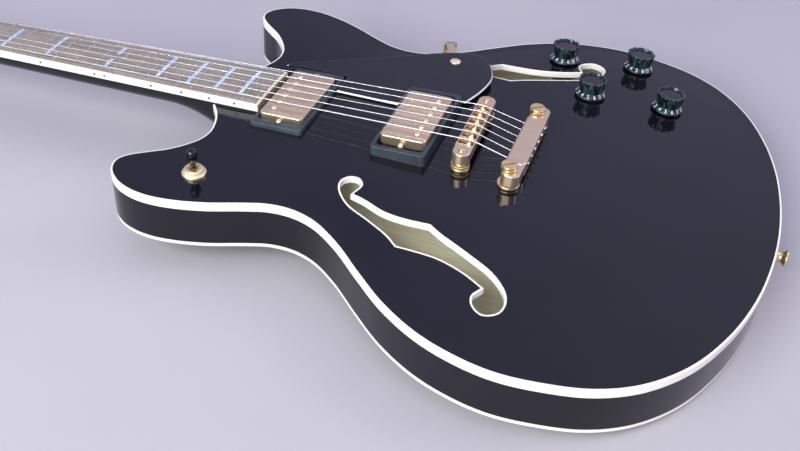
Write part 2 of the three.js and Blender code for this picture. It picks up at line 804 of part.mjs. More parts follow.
// Neck: half-round shaft, heel, tenon in the block's pocket and angled headstock
const boardHalfWidth = x =>
  (boardNutWidth + (boardEndWidth - boardNutWidth) * x / boardLength) / 2;
const crownOver = (y, edge) =>
  Math.sqrt(boardRadius ** 2 - y ** 2) - Math.sqrt(boardRadius ** 2 - edge ** 2);

function neckSection(x, depth) {
  const half = boardHalfWidth(x);
  const loop = [];
  for (let i = 0; i <= neckRingSteps; i += 1) {
    const angle = Math.PI * i / neckRingSteps;
    const across = Math.sign(Math.cos(angle)) * Math.abs(Math.cos(angle)) ** neckRoundness;
    const down = Math.sin(angle) ** neckRoundness;
    loop.push(new THREE.Vector3(x, half * across, -boardThickness - seat - depth * down));
  }
  return loop;
}

function headLoop() {
  const half = headShares.map(([along, out]) =>
    point(-headLength * along, headWidth / 2 * out));
  const mirrored = half.slice(0, -1).reverse().map(p => point(p.x, -p.y));
  return smoothRun([...half, ...mirrored], headDivisions);
}

const postAlong = index => -firstPostAlong - index * postPitch;

function addNeck() {
  const heelStart = bodyFront - heelLength;
  const sections = [];
  for (let i = 0; i <= neckStations; i += 1) {
    const share = i / neckStations;
    const x = -headStart + (heelStart + headStart) * share;
    sections.push(neckSection(x, THREE.MathUtils.lerp(neckDepthAtNut, neckDepthAtHeel, share)));
  }
  for (let i = 1; i <= heelStations; i += 1) {
    const share = i / heelStations;
    const swell = neckDepthAtHeel + (heelDepth - neckDepthAtHeel) * share ** 2;
    sections.push(neckSection(heelStart + (heelLength + sideThickness) * share, swell));
  }
  const bodyBlock = solid(prism(inset(outline, -seat), farBelow, farAbove));
  const shaft = solid(loft(sections), neckMatrix).subtract(bodyBlock);
  const tongueTop = -boardThickness - seat;
  const tongueHalf = boardHalfWidth(bodyFront);
  const tongue = solid(box(heelStart, boardLength - overrun, -tongueHalf, tongueHalf,
    -tongueDepth - boardThickness, tongueTop), neckMatrix)
    .intersect(solid(box(heelStart + heelLength / 2, boardLength, -tongueHalf, tongueHalf,
      farBelow, farAbove)))
    .subtract(topFill.intersect(bodyBlock));
  const tenon = solid(box(heelStart + heelLength / 2, 2 * boardLength, -tenonWidth / 2,
    tenonWidth / 2, -2 * tenonDepth, tongueTop), neckMatrix)
    .intersect(solid(box(heelStart, tenonEnd, -tenonWidth / 2, tenonWidth / 2,
      -tenonDepth + seat, farAbove)));
  const head = solid(prism(headLoop(), -headThickness, 0), headMatrix)
    .subtract(solid(box(0, heelStart, -headWidth, headWidth, tongueTop, sideDepth), neckMatrix));
  const postHoles = [];
  for (const side of Object.values(sides)) {
    for (let i = 0; i < tunerCountPerSide; i += 1) {
      postHoles.push(solid(
        rod(postRadius + seat, -2 * headThickness, headThickness, fineSides),
        headMatrix.clone().multiply(place(postAlong(i), side * postSpread / 2, 0))));
    }
  }
  const neck = joined([shaft, tongue, tenon, head]).subtract(joined(postHoles));
  addPiece('neck', neck, blackLacquer);
}

function addFretboard() {
  const arc = (x, top, bottom) => {
    const half = boardHalfWidth(x);
    const loop = [new THREE.Vector3(x, -half, bottom)];
    for (let i = 0; i <= boardArcSteps; i += 1) {
      const y = -half + 2 * half * i / boardArcSteps;
      loop.push(new THREE.Vector3(x, y, top + crownOver(y, half)));
    }
    loop.push(new THREE.Vector3(x, half, bottom));
    return loop;
  };
  const board = solid(loft([arc(0, 0, -boardThickness), arc(boardLength, 0, -boardThickness)]),
    neckMatrix);
  const frets = [];
  for (let n = 1; n <= fretCount; n += 1) {
    const x = fretAt(n);
    const half = boardHalfWidth(x) - fretEndInset;
    const section = (offset, height) => {
      const loop = [];
      for (let i = 0; i <= boardArcSteps; i += 1) {
        const y = -half + 2 * half * i / boardArcSteps;
        const rise = crownOver(y, boardHalfWidth(x));
        loop.push(new THREE.Vector3(x + offset, y, height + rise));
      }
      for (let i = boardArcSteps; i >= 0; i -= 1) {
        const y = -half + 2 * half * i / boardArcSteps;
        loop.push(new THREE.Vector3(x + offset, y, -fretSink));
      }
      return loop;
    };
    const sections = [section(-fretWidth / 2, fretHeight), section(fretWidth / 2, fretHeight)];
    frets.push(solid(loft(sections), neckMatrix));
  }
  addPiece('fretboard', board.add(joined(frets)), rosewood);

  const nutLoop = rectangle(nutThickness, boardNutWidth)
    .map(p => point(p.x - nutThickness / 2 - seat, p.y));
  const nut = solid(prism(nutLoop, -nutDepth, nutTop), neckMatrix);
  addPiece('nut', nut, bone);
}

// Strings run from the tuner posts over the nut and the saddles into the tailpiece.
class StringRun extends THREE.Curve {
  constructor(corners) {
    super();
    this.corners = corners;
  }

  getPoint(t, target = new THREE.Vector3()) {
    const step = t * (this.corners.length - 1);
    const i = Math.min(Math.floor(step), this.corners.length - 2);
    return target.lerpVectors(this.corners[i], this.corners[i + 1], step - i);
  }

  getPointAt(u, target) {
    return this.getPoint(u, target);
  }

  getTangentAt(u, target = new THREE.Vector3()) {
    const i = Math.round(u * (this.corners.length - 1));
    const before = this.corners[Math.max(i - 1, 0)];
    const after = this.corners[Math.min(i + 1, this.corners.length - 1)];
    return target.subVectors(after, before).normalize();
  }
}

const stringOut = (index, spread) => spread * (index / (stringCount - 1) - 1 / 2);
const halfSpread = stringSpreadAtBridge / 2;
const crestHeight = index => {
  const y = stringOut(index, stringSpreadAtBridge);
  const onBoard = inNeck(bridgeAt, 0, stringRiseAtBridge + crownOver(y, halfSpread));
  return onBoard.z;
};
const studTop = Math.max(...studPlaces.map(p => topAt(p.x, p.y))) + seat;
const earBottom = studTop + tailFlangeHeight + tailStudLift;
const earTop = earBottom + tailEarHeight;
const tailBottom = earBottom - tailBarDrop;
const tailStringHeight = tailBottom + tailBarHeight * tailStringShare;
const saddlePlay = saddleSlotLength / 2 - saddleLength / 2 - saddleTravel - seat;
const saddleAt = index => saddlePlay * saddlePlaceShares[index];
const crestAt = index => saddleAt(index) + crestSetback * crestSetbackShares[index];

function addStrings() {
  for (let index = 0; index < stringCount; index += 1) {
    const radius = heaviestStringRadius * stringGaugeShares[index];
    const bass = index < stringCount / 2;
    const side = bass ? sides.bass : sides.treble;
    const post = bass ? index : stringCount - 1 - index;
    const atNut = stringOut(index, stringSpreadAtNut);
    const atBridge = stringOut(index, stringSpreadAtBridge);
    const lift = nutTop + seat + radius;
    const innerSide = side * (postSpread / 2 - postRadius - radius - seat);
    const crest = crestHeight(index) + seat + radius;
    const saddle = new THREE.Vector3(crestAt(index), atBridge, 0).applyMatrix4(bridgeMatrix);
    const tailFront = tailpieceFromNut + tailBarOffset - tailBarWidth / 2 - seat;
    const corners = [
      inHead(postAlong(post) - postRadius, innerSide, stringWrapHeight),
      inNeck(-nutThickness - seat, atNut, lift),
      inNeck(0, atNut, lift),
      new THREE.Vector3(saddle.x - saddleTravel - saddleCrest, saddle.y, crest),
      new THREE.Vector3(saddle.x + saddleTravel + saddleCrest, saddle.y, crest),
      new THREE.Vector3(tailFront, atBridge, tailStringHeight),
      new THREE.Vector3(tailFront + tailBarWidth, atBridge, tailStringHeight),
    ];
    const section = new THREE.Shape();
    section.absarc(0, 0, radius, 0, 2 * Math.PI);
    const ring = section.getPoints(stringArcSteps).slice(0, -1);
    const geometry = new THREE.ExtrudeGeometry(new THREE.Shape(ring), {
      steps: corners.length - 1, bevelEnabled: false, extrudePath: new StringRun(corners),
    });
    addPiece(`string_${stringCount - index}`, geometry, steel);
  }
}

// Bridge with its posts, thumbwheels and sliding saddles
const postTop = Math.max(...postPlaces.map(p => topAt(p.x, p.y))) + seat;
const bridgeBottom = postTop + thumbwheelThickness + postCollarHeight + seat;
const bridgeTop = bridgeBottom + bridgeHeight;

function addBridge() {
  const length = bridgePostSpread + 2 * bridgeEndRadius;
  let barBody = solid(bevelled(rectangle(2 * bridgeEndRadius, length, bridgeEndRadius, 2),
    bridgeBottom, bridgeTop, bridgeBevel), bridgeMatrix);
  for (const spot of postPlaces) {
    barBody = barBody.subtract(solid(
      rod(bridgePostRadius + seat, bridgeBottom - overrun, bridgeTop + overrun, fineSides),
      place(spot.x, spot.y, 0)));
  }
  const slotFloor = bridgeTop - saddleSlotDepth;
  const slotHalf = saddleWidth / 2 + seat;
  for (let index = 0; index < stringCount; index += 1) {
    const y = stringOut(index, stringSpreadAtBridge);
    barBody = barBody.subtract(solid(box(-saddleSlotLength / 2, saddleSlotLength / 2,
      y - slotHalf, y + slotHalf, slotFloor, bridgeTop + overrun), bridgeMatrix));
    const crest = crestHeight(index);
    const top = crestAt(index) - saddleAt(index);
    const profile = [
      point(-saddleLength / 2, slotFloor + seat), point(saddleLength / 2, slotFloor + seat),
      point(saddleLength / 2, bridgeTop), point(top + saddleCrest, crest),
      point(top - saddleCrest, crest), point(-saddleLength / 2, bridgeTop),
    ];
    const saddle = prism(profile, -saddleWidth / 2, saddleWidth / 2)
      .rotateX(Math.PI / 2).translate(saddleAt(index), y, 0);
    addPiece(`saddle_${stringCount - index}`, solid(saddle, bridgeMatrix), gold);
  }
  addPiece('bridge', barBody, gold);

  Object.keys(sides).forEach((name, i) => {
    const spot = postPlaces[i];
    const post = turned([
      [0, -bridgePostDepth], [bridgePostRadius, -bridgePostDepth], [bridgePostRadius, postTop],
      [thumbwheelRadius, postTop], [thumbwheelRadius, postTop + thumbwheelThickness],
      [postCollarRadius, postTop + thumbwheelThickness],
      [postCollarRadius, bridgeBottom - seat], [bridgePostRadius, bridgeBottom - seat],
      [bridgePostRadius, bridgeTop + bridgePostProud], [0, bridgeTop + bridgePostProud],
    ], smallSides);
    addPiece(`bridge_post_${name}`, solid(post, place(spot.x, spot.y, 0)), gold);
  });
}

// Stop tailpiece held by two slotted studs in flanged bushings
function addTailpiece() {
  const barLoop = rectangle(tailBarWidth, tailBarLength, coverCorner)
    .map(p => point(p.x + tailBarOffset, p.y));
  const earLoop = rectangle(tailEarWidth, tailStudSpread + 2 * tailEarReach, tailEarWidth / 3)
    .map(p => point(p.x + tailBarOffset, p.y));
  let bodyOfBar = solid(bevelled(barLoop, tailBottom, tailBottom + tailBarHeight, tailBarBevel),
    tailMatrix)
    .add(solid(bevelled(earLoop, earBottom, earTop, tailBarBevel / 2), tailMatrix));
  for (const side of Object.values(sides)) {
    const y = side * tailStudSpread / 2;
    const gap = tailStudRadius + seat;
    const headGap = tailStudHeadRadius + seat;
    bodyOfBar = bodyOfBar.subtract(joined([
      solid(rod(gap, farBelow, farAbove, fineSides).translate(0, y, 0), tailMatrix),
      solid(box(-tailBarWidth, 0, y - gap, y + gap, farBelow, farAbove), tailMatrix),
      solid(rod(headGap, earTop, farAbove, smallSides).translate(0, y, 0), tailMatrix),
    ]));
  }
  for (let index = 0; index < stringCount; index += 1) {
    const y = stringOut(index, stringSpreadAtBridge);
    bodyOfBar = bodyOfBar.subtract(solid(bar(
      new THREE.Vector3(-tailBarWidth, y, tailStringHeight),
      new THREE.Vector3(2 * tailBarWidth, y, tailStringHeight),
      tailStringHole, holeSides), tailMatrix));
  }
  addPiece('tailpiece', bodyOfBar, goldBar);

  Object.keys(sides).forEach((name, i) => {
    const spot = studPlaces[i];
    const headBottom = earTop + seat;
    const shoulder = earBottom - seat;
    const stud = turned([
      [0, -tailBushingDepth], [tailBushingRadius, -tailBushingDepth],
      [tailBushingRadius, studTop], [tailFlangeRadius, studTop],
      [tailFlangeRadius, studTop + tailFlangeHeight],
      [tailBushingRadius, studTop + tailFlangeHeight], [tailBushingRadius, shoulder],
      [tailStudRadius, shoulder], [tailStudRadius, headBottom],
      [tailStudHeadRadius, headBottom], [tailStudHeadRadius, headBottom + tailStudHeadHeight],
      [0, headBottom + tailStudHeadHeight],
    ], smallSides);
    addPiece(`tailpiece_stud_${name}`, solid(stud, place(spot.x, spot.y, 0)), gold);
  });
}

// Humbucking pickups: metal cover, coils on a base plate with ears, and mounting ring
function addPickup(name, along, top, ringTop, poleSide) {
  const matrix = neckMatrix.clone().multiply(place(along, 0, 0));
  const coverBottom = top - coverHeight;
  const poleX = poleSide * poleOffset;
  const poles = radius => Array.from({ length: stringCount }, (_, i) => [
    poleX, polePitch * (i - (stringCount - 1) / 2), radius,
  ]);
  let cover = solid(bevelled(rectangle(coverWidth, coverLength, coverCorner), coverBottom, top,
    coverBevel), matrix)
    .subtract(solid(prism(rectangle(coverWidth - 2 * coverWall, coverLength - 2 * coverWall,
      coverCorner - coverWall), coverBottom - overrun, top - coverWall), matrix));
  for (const [x, y, radius] of poles(poleHoleRadius)) {
    cover = cover.subtract(solid(
      rod(radius, top - poleDepth, top + overrun, holeSides).translate(x, y, 0), matrix));
  }
  addPiece(`${name}_pickup_cover`, cover, goldBar);

  const coilTop = top - coverWall - seat;
  const coilBottom = coilTop - bobbinHeight;
  const plateBottom = coverBottom - seat - basePlateThickness;
  const inner = coverWall + seat;
  const pieces = [
    box(-coverWidth / 2 + inner, coverWidth / 2 - inner, -coverLength / 2 + inner + coverCorner,
      coverLength / 2 - inner - coverCorner, plateBottom, coilBottom + overrun),
    box(-earWidth / 2, earWidth / 2, -earLength / 2, earLength / 2, plateBottom,
      plateBottom + basePlateThickness),
  ];
  for (const side of [-1, 1]) {
    pieces.push(prism(rectangle(bobbinWidth, bobbinLength, coverCorner)
      .map(p => point(p.x + side * poleOffset * 0.95, p.y)), coilBottom, coilTop));
  }
  for (const [x, y, radius] of poles(poleRadius)) {
    pieces.push(rod(radius, coilBottom + overrun, top + poleProud, holeSides).translate(x, y, 0));
  }
  addPiece(`${name}_pickup_coils`, joined(pieces.map(p => solid(p, matrix))), coilBlack);

  const hole = rectangle(coverWidth + 2 * ringGap, coverLength + 2 * ringGap, coverCorner);
  let ring = solid(bevelled(rectangle(ringWidth, ringLength, ringCorner),
    plateBottom, ringTop, coverBevel), matrix)
    .subtract(solid(prism(hole, plateBottom - overrun, ringTop + overrun), matrix))
    .subtract(topFill);
  for (const side of Object.values(sides)) {
    ring = ring.subtract(solid(
      rod(ringScrewRadius + seat, plateBottom - overrun, ringTop + overrun, holeSides)
        .translate(0, side * ringScrewSpread / 2, 0), matrix));
  }
  addPiece(`${name}_pickup_ring`, ring, ringPlastic);
}

// Knobs on their shafts, and the potentiometers joined by their wires
function addControls() {
  const cans = [];
  const canCentres = {};
  for (const [name, shares] of Object.entries(knobPlaceShares)) {
    const frame = topSeat(onBody(shares));
    const knobTop = knobLift + knobHeight;
    const profile = [
      [shaftRadius, -shaftDepth, 0], [shaftRadius, knobLift, 0],
      [knobSkirtRadius, knobLift, 0], [knobSkirtRadius, knobLift + knobSkirtHeight / 3, 0],
      [knobBaseRadius, knobLift + knobSkirtHeight, 0],
      [knobTopRadius, knobTop, knobScallopDepth],
    ];
    const steps = 2 * knobScallops;
    const knob = loft(profile.map(([radius, height, scallop]) =>
      Array.from({ length: steps }, (_, i) => {
        const angle = 2 * Math.PI * i / steps;
        const reach = radius - (i % 2 ? scallop : 0);
        return new THREE.Vector3(reach * Math.cos(angle), reach * Math.sin(angle), height);
      })));
    const holder = new THREE.Group();
    frame.decompose(holder.position, holder.quaternion, holder.scale);
    bodyGroup.add(holder);
    addPiece(name, knob, blackPlastic, holder);

    const canTop = -topThickness - 2 * seat;
    const canBottom = canTop - potHeight;
    const can = turned([
      [0, canBottom], [potRadius, canBottom], [potRadius, canTop], [potBushingRadius, canTop],
      [potBushingRadius, knobLift - seat], [shaftRadius + seat, knobLift - seat],
      [shaftRadius + seat, canBottom + potWall], [0, canBottom + potWall],
    ], fineSides);
    cans.push(solid(can, frame));
    canCentres[name] = new THREE.Vector3(0, 0, canBottom + wireRadius).applyMatrix4(frame);
  }
  const wires = wireRuns.map(([from, to]) => {
    const [start, end] = [canCentres[from], canCentres[to]];
    const along = end.clone().sub(start).normalize().multiplyScalar(potRadius - overrun);
    return solid(bar(start.clone().add(along), end.clone().sub(along), wireRadius, holeSides));
  });
  addPiece('control_harness', joined([...cans, ...wires]), potSteel);
}

function addSelector() {
  const frame = topSeat(switchPlace);
  const holder = new THREE.Group();
  frame.decompose(holder.position, holder.quaternion, holder.scale);
  bodyGroup.add(holder);
  const under = -topThickness - 2 * seat;
  const bottom = under - switchBodyDepth;
  const washerTop = seat + switchWasherThickness;
  const bushing = rod(switchBushingRadius, bottom, switchBushingTop, smallSides);
  const washer = turned([
    [0, -overrun], [switchWasherRadius, -overrun], [switchWasherRadius, washerTop],
    [switchNutRadius, washerTop], [switchNutRadius, washerTop + switchNutHeight],
    [0, washerTop + switchNutHeight],
  ], smallSides);
  const intoSeat = solid(washer, frame).subtract(topFill).transform(frame.clone().invert()
    .elements);
  const throat = turned([
    [0, -leverBelow - leverRadius], [switchThroatRadius, -leverBelow - leverRadius],
    [switchWaistRadius, 0], [switchThroatRadius, switchBushingTop + overrun],
    [0, switchBushingTop + overrun],
  ], fineSides);
  const frameBox = box(-switchBodyWidth / 2, switchBodyWidth / 2, -switchBodyLength / 2,
    switchBodyLength / 2, bottom, under);
  const body = joined([solid(bushing), intoSeat, solid(frameBox)]).subtract(solid(throat));
  addPiece('selector_switch', body, gold, holder);

  const tipTop = leverTipStart + leverTipLength;
  const lever = turned([
    [0, -leverBelow], [leverRadius, -leverBelow], [leverRadius, leverTipStart],
    [leverNeckRadius, leverTipStart], [leverNeckRadius, tipTop - 3 * leverTipRadius],
    [leverTipRadius, tipTop - 1.6 * leverTipRadius], [leverTipRadius, tipTop - 0.7 * leverTipRadius],
    [leverTipRadius * 0.6, tipTop - 0.15 * leverTipRadius], [0, tipTop],
  ], fineSides);
  addPiece('selector_lever', lever, blackPlastic, holder);
}

function addPickguard() {
  const ringEdge = ringLength / 2 + guardGap;
  const outer = smoothRun(guardEdgeShares.map(([along, out]) =>
    point(guardStart + guardLength * along, ringEdge + guardReach * out)), 1);
  const clear = guardGap + seat;
  const notchStart = inNeck(neckPickupAt + ringWidth / 2, 0, neckRingTop).x + clear;
  const notchEnd = inNeck(bridgePickupAt - ringWidth / 2, 0, bridgeRingTop).x - clear;
  const loop = [
    ...outer,
    point(notchStart, ringEdge), point(notchStart, guardInnerEdge),
    point(notchEnd, guardInnerEdge), point(notchEnd, ringEdge),
  ];
  const x = guardStart + guardLength * guardScrewShares[0];
  const y = ringEdge + guardReach * guardScrewShares[1];
  const top = guardHeight + guardThickness;
  const guard = solid(prism(loop, guardHeight, top)).subtract(solid(
    rod(guardScrewRadius + seat, guardHeight - overrun, top + overrun, fineSides),
    place(x, y, 0)));
  addPiece('pickguard', guard, blackPlastic);

  const armTop = guardHeight - seat;
  const armBottom = armTop - bracketThickness;
  const outward = onBody(bracketPlaceShares).sub(point(x, y));
  const reach = outward.length() + bracketFootThickness;
  const turn = new THREE.Matrix4().makeRotationZ(outward.angle());
  const arm = box(-guardScrewHeadRadius, reach, -bracketWidth / 3, bracketWidth / 3,
    armBottom, armTop);
  const leg = box(reach - bracketFootThickness, reach, -bracketWidth / 2, bracketWidth / 2,
    armTop - bracketDrop, armTop);
  const screw = turned([
    [0, armBottom], [guardScrewRadius, armBottom], [guardScrewRadius, top + seat],
    [guardScrewHeadRadius, top + seat],
    [guardScrewHeadRadius * 0.8, top + seat + guardScrewHeadHeight],
    [0, top + seat + guardScrewHeadHeight],
  ], fineSides);
  const frame = place(x, y, 0).multiply(turn);
  const keepOut = solid(prism(inset(outline, -seat), farBelow, seat));
  const bracket = joined([solid(arm, frame), solid(leg, frame), solid(screw, place(x, y, 0))])
    .subtract(keepOut);
  addPiece('pickguard_bracket', bracket, gold);
}

function addStrapButton() {
  const start = seat;
  const profile = [
    [0, -buttonScrewLength], [buttonScrewRadius, -buttonScrewLength], [buttonScrewRadius, start],
    [buttonBaseRadius, start], [buttonWaistRadius, buttonLength / 3],
    [buttonWaistRadius, buttonLength * 0.6], [buttonHeadRadius, buttonLength * 0.8],
    [buttonHeadRadius, buttonLength], [0, buttonLength],
  ];
  const button = turned(profile, smallSides).rotateY(Math.PI / 2);
  addPiece('strap_button', solid(button, place(tailEnd, 0, -buttonHeight)), gold);
}

function addJack() {
  const flange = jackFlangeThickness;
  const profile = [
    [0, -jackBarrelLength], [jackBarrelRadius, -jackBarrelLength], [jackBarrelRadius, 0],
    [jackFlangeRadius, 0], [jackFlangeRadius, flange], [jackNutRadius, flange],
    [jackNutRadius, flange + jackNutThickness], [jackBoreRadius, flange + jackNutThickness],
    [jackBoreRadius, -jackBoreLength], [0, -jackBoreLength],
  ];
  const jack = turned(profile, smallSides).rotateX(-Math.PI / 2);
  addPiece('output_jack', solid(jack, place(
    jackPlace.x, jackPlace.y + seat, -sideDepth / 2)), gold);
}

// Tuners: posts with gears under a plate with three shells, and buttons with worms
function addTuners() {
  const plateTop = -headThickness - seat;
  const plateBottom = plateTop - tunerPlateThickness;
  const shellBottom = plateBottom - tunerShellHeight;
  const gearMiddle = (plateBottom + shellBottom + tunerShellWall) / 2;
  const wormOffset = gearRadius + wormRadius + seat;
  for (const [name, side] of Object.entries(sides)) {
    const y = side * postSpread / 2;
    const first = postAlong(0) + tunerPlateMargin;
    const last = postAlong(tunerCountPerSide - 1) - tunerPlateMargin;
    const inner = y - side * tunerPlateWidth / 2;
    const outerEdge = y + side * tunerPlateWidth / 2;
    let plate = solid(box(last, first, Math.min(inner, outerEdge), Math.max(inner, outerEdge),
      plateBottom, plateTop), headMatrix);
    for (let i = 0; i < tunerCountPerSide; i += 1) {
      const x = postAlong(i);
      const shift = wormOffset / 2;
      const [halfLong, halfWide] = [tunerShellLength / 2, tunerShellWidth / 2];
      const wall = tunerShellWall;
      plate = plate.add(solid(box(x + shift - halfLong, x + shift + halfLong, y - halfWide,
        y + halfWide, shellBottom, plateTop - seat), headMatrix));
      plate = plate.subtract(solid(box(x + shift - halfLong + wall, x + shift + halfLong - wall,
        y - halfWide + wall, y + halfWide - wall, shellBottom + wall, plateTop + overrun),
      headMatrix));
    }
    const buttonPlaces = [];
    for (let i = 0; i < tunerCountPerSide; i += 1) {
      const x = postAlong(i);
      const order = side < 0 ? stringCount - i : i + 1;
      const gearBottom = gearMiddle - gearThickness / 2;
      const post = turned([
        [0, gearBottom], [gearRadius, gearBottom], [gearRadius, gearBottom + gearThickness],
        [postRadius, gearBottom + gearThickness], [postRadius, postHeight - postCapHeight],
        [postRadius + postCapHeight / 4, postHeight - postCapHeight / 2],
        [postRadius - postCapHeight / 4, postHeight], [0, postHeight],
      ], fineSides);
      const holder = new THREE.Group();
      headMatrix.clone().multiply(place(x, y, 0))
        .decompose(holder.position, holder.quaternion, holder.scale);
      bodyGroup.add(holder);
      addPiece(`tuner_post_${order}`, post, gold, holder);

      const edge = headWidth / 2 - postSpread / 2;
      const innerEnd = -(tunerShellWidth / 2 - tunerShellWall - seat);
      const outerEnd = edge + tunerButtonReach;
      const shaft = turned([
        [0, innerEnd], [wormRadius, innerEnd], [wormRadius, -innerEnd],
        [tunerShaftRadius * 0.8, -innerEnd], [tunerShaftRadius * 0.8, outerEnd - overrun],
        [0, outerEnd - overrun],
      ], fineSides);
      const oval = new THREE.Shape();
      oval.absellipse(0, outerEnd, tunerButtonWidth / 2, tunerButtonLength / 2, 0, 2 * Math.PI);
      const thumb = bevelled(oval.getPoints(5).slice(0, -1), -tunerButtonThickness / 2,
        tunerButtonThickness / 2, tunerButtonBevel);
      const worm = solid(shaft.rotateX(-Math.PI / 2)).add(solid(thumb));
      const knobFrame = new THREE.Group();
      headMatrix.clone().multiply(place(x + wormOffset, y, gearMiddle))
        .multiply(new THREE.Matrix4().makeRotationZ(side < 0 ? Math.PI : 0))
        .decompose(knobFrame.position, knobFrame.quaternion, knobFrame.scale);
      bodyGroup.add(knobFrame);
      addPiece(`tuner_button_${order}`, worm, gold, knobFrame);
      buttonPlaces.push(x + wormOffset);
    }
    for (const x of buttonPlaces) {
      const bore = rod(tunerShaftRadius, 0, tunerPlateWidth, fineSides)
        .rotateX(-side * Math.PI / 2).translate(x, y, gearMiddle);
      plate = plate.subtract(solid(bore, headMatrix));
    }
    addPiece(`tuner_plate_${name}`, plate, gold);
  }
}

addShell();
addNeck();
addFretboard();
addStrings();
addBridge();
addTailpiece();
addPickup('neck', neckPickupAt, neckPickupTop, neckRingTop, -1);
addPickup('bridge', bridgePickupAt, bridgePickupTop, bridgeRingTop, 1);
addControls();
addSelector();
addPickguard();
addStrapButton();
addJack();
addTuners();

// Rest: the back's curve and the headstock share one tangent plane, the table.
function lowestAlong(filter, slope) {
  const corner = new THREE.Vector3();
  let lowest = Infinity;
  bodyGroup.traverse(item => {
    if (!item.isMesh || !filter(item.name)) return;
    const position = item.geometry.attributes.position;
    for (let i = 0; i < position.count; i += 1) {
      corner.fromBufferAttribute(position, i).applyMatrix4(item.matrixWorld);
      lowest = Math.min(lowest, corner.z - slope * corner.x);
    }
  });
  return lowest;
}

function restSlope() {
  let [low, high] = [0, Math.tan(headAngle)];
  const isBack = name => name.startsWith('back');
  const isHead = name => name === 'neck' || name.startsWith('tuner');
  for (let round = 0; round < 40; round += 1) {
    const middle = (low + high) / 2;
    const headIsLower = lowestAlong(isHead, middle) < lowestAlong(isBack, middle);
    if (headIsLower) low = middle;
    else high = middle;
  }
  return (low + high) / 2;
}

bodyGroup.updateMatrixWorld(true);
bodyGroup.rotation.y = Math.atan(restSlope());
bodyGroup.updateMatrixWorld(true);

const extent = new THREE.Box3().setFromObject(bodyGroup, true);
const middle = extent.getCenter(new THREE.Vector3());
bodyGroup.position.set(-middle.x, -middle.y, -extent.min.z);

const guitar = new THREE.Group();
guitar.add(bodyGroup);
guitar.updateMatrixWorld(true);

export default guitar;
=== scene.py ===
import math

import bpy
import bmesh
import numpy as np
from bpy.props import FloatProperty, FloatVectorProperty, IntProperty, PointerProperty
from mathutils import Matrix, Vector
from mathutils.geometry import delaunay_2d_cdt


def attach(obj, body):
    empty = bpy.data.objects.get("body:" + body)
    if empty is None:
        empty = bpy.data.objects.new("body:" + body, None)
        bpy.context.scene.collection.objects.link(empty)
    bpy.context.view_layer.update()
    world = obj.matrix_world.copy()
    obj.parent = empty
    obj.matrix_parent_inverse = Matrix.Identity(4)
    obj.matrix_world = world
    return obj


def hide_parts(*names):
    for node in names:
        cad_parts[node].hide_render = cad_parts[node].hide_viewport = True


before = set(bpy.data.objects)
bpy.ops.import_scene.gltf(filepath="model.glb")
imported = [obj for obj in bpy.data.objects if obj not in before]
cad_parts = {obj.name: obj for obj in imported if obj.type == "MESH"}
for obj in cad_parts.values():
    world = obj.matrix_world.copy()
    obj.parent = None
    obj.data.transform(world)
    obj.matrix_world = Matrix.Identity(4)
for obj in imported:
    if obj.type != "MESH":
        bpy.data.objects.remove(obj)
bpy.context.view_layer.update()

bl_info = {
    "name": "Hollow-body electric guitar",
    "version": (1, 0, 0),
    "blender": (4, 5, 0),
    "location": "View3D > Sidebar > Guitar",
    "description": "Dresses the packed guitar: lacquered shell, board, hardware and stage",
    "category": "Object",
}

# Lengths are in millimetres in the body's own frame: X runs from the nut to the tail, Y from
# the bass side to the treble side, and Z up from the plane of the top's edge.
BODY_TILT = math.radians(3.2488)
BODY_SHIFT = (-0.3483287, -0.0024, 0.0934203)
TO_METRES = 0.001

# Whole instrument
SCALE_LENGTH = 628.65
FRET_COUNT = 22
NECK_ANGLE = math.radians(4.4)
HEAD_ANGLE = math.radians(14)
HEAD_START = 5.0
BODY_LENGTH = 488.5
BODY_WIDTH = 432.0
SIDE_DEPTH = 42.0
SEAT = 0.3
BOARD_OVERHANG = 5.36
BOARD_OVER_BODY = 72.6
BOARD_END_HEIGHT = 10.88

# Shell
TOP_CROWN = 12.0
BACK_CROWN = 10.0
TOP_THICKNESS = 5.0
BACK_THICKNESS = 4.0
SIDE_THICKNESS = 5.0
FLAT_MARGIN = 8.0
ARCH_CELL = 6.0
ARCH_ROUNDS = 420
ARCH_RELAXATION = 1.9
SURFACE_CELL = 5.0
BINDING = 1.6
TOP_BINDING_HEIGHT = 7.0
BACK_BINDING_HEIGHT = 3.6
BINDING_EDGE = 0.9
BINDING_PLAY = 0.02
OUTLINE_DIVISIONS = 9
F_HOLE_LENGTH = 153.0
F_HOLE_WIDTH = 98.0
F_HOLE_PLACE = (0.3439, 0.5787)
F_HOLE_STRIP = 1.5

# Neck, board and head
BOARD_THICKNESS = 6.0
BOARD_NUT_WIDTH = 42.6
BOARD_END_WIDTH = 56.8
BOARD_RADIUS = 305.0
BOARD_EDGE = 1.7
END_STRIP_DEPTH = 1.6
FRET_WIDTH = 1.8
FRET_HEIGHT = 1.1
FRET_INSET = 1.5
INLAY_WIDTH = 3.1
INLAY_SPACES = (3, 5, 7, 9, 15, 17, 19, 21)
OCTAVE_SPACE = 12
OCTAVE_DOTS = 5.0
SIDE_DOT = 1.0
NECK_DEPTH_NUT = 14.5
NECK_DEPTH_HEEL = 18.0
NECK_ROUNDNESS = 0.82
HEEL_LENGTH = 46.0
HEEL_DEPTH = 39.0
TONGUE_DEPTH = 9.0
HEAD_LENGTH = 188.0
HEAD_WIDTH = 78.0
HEAD_THICKNESS = 14.5
NUT_THICKNESS = 5.0
NUT_TOP = 1.3

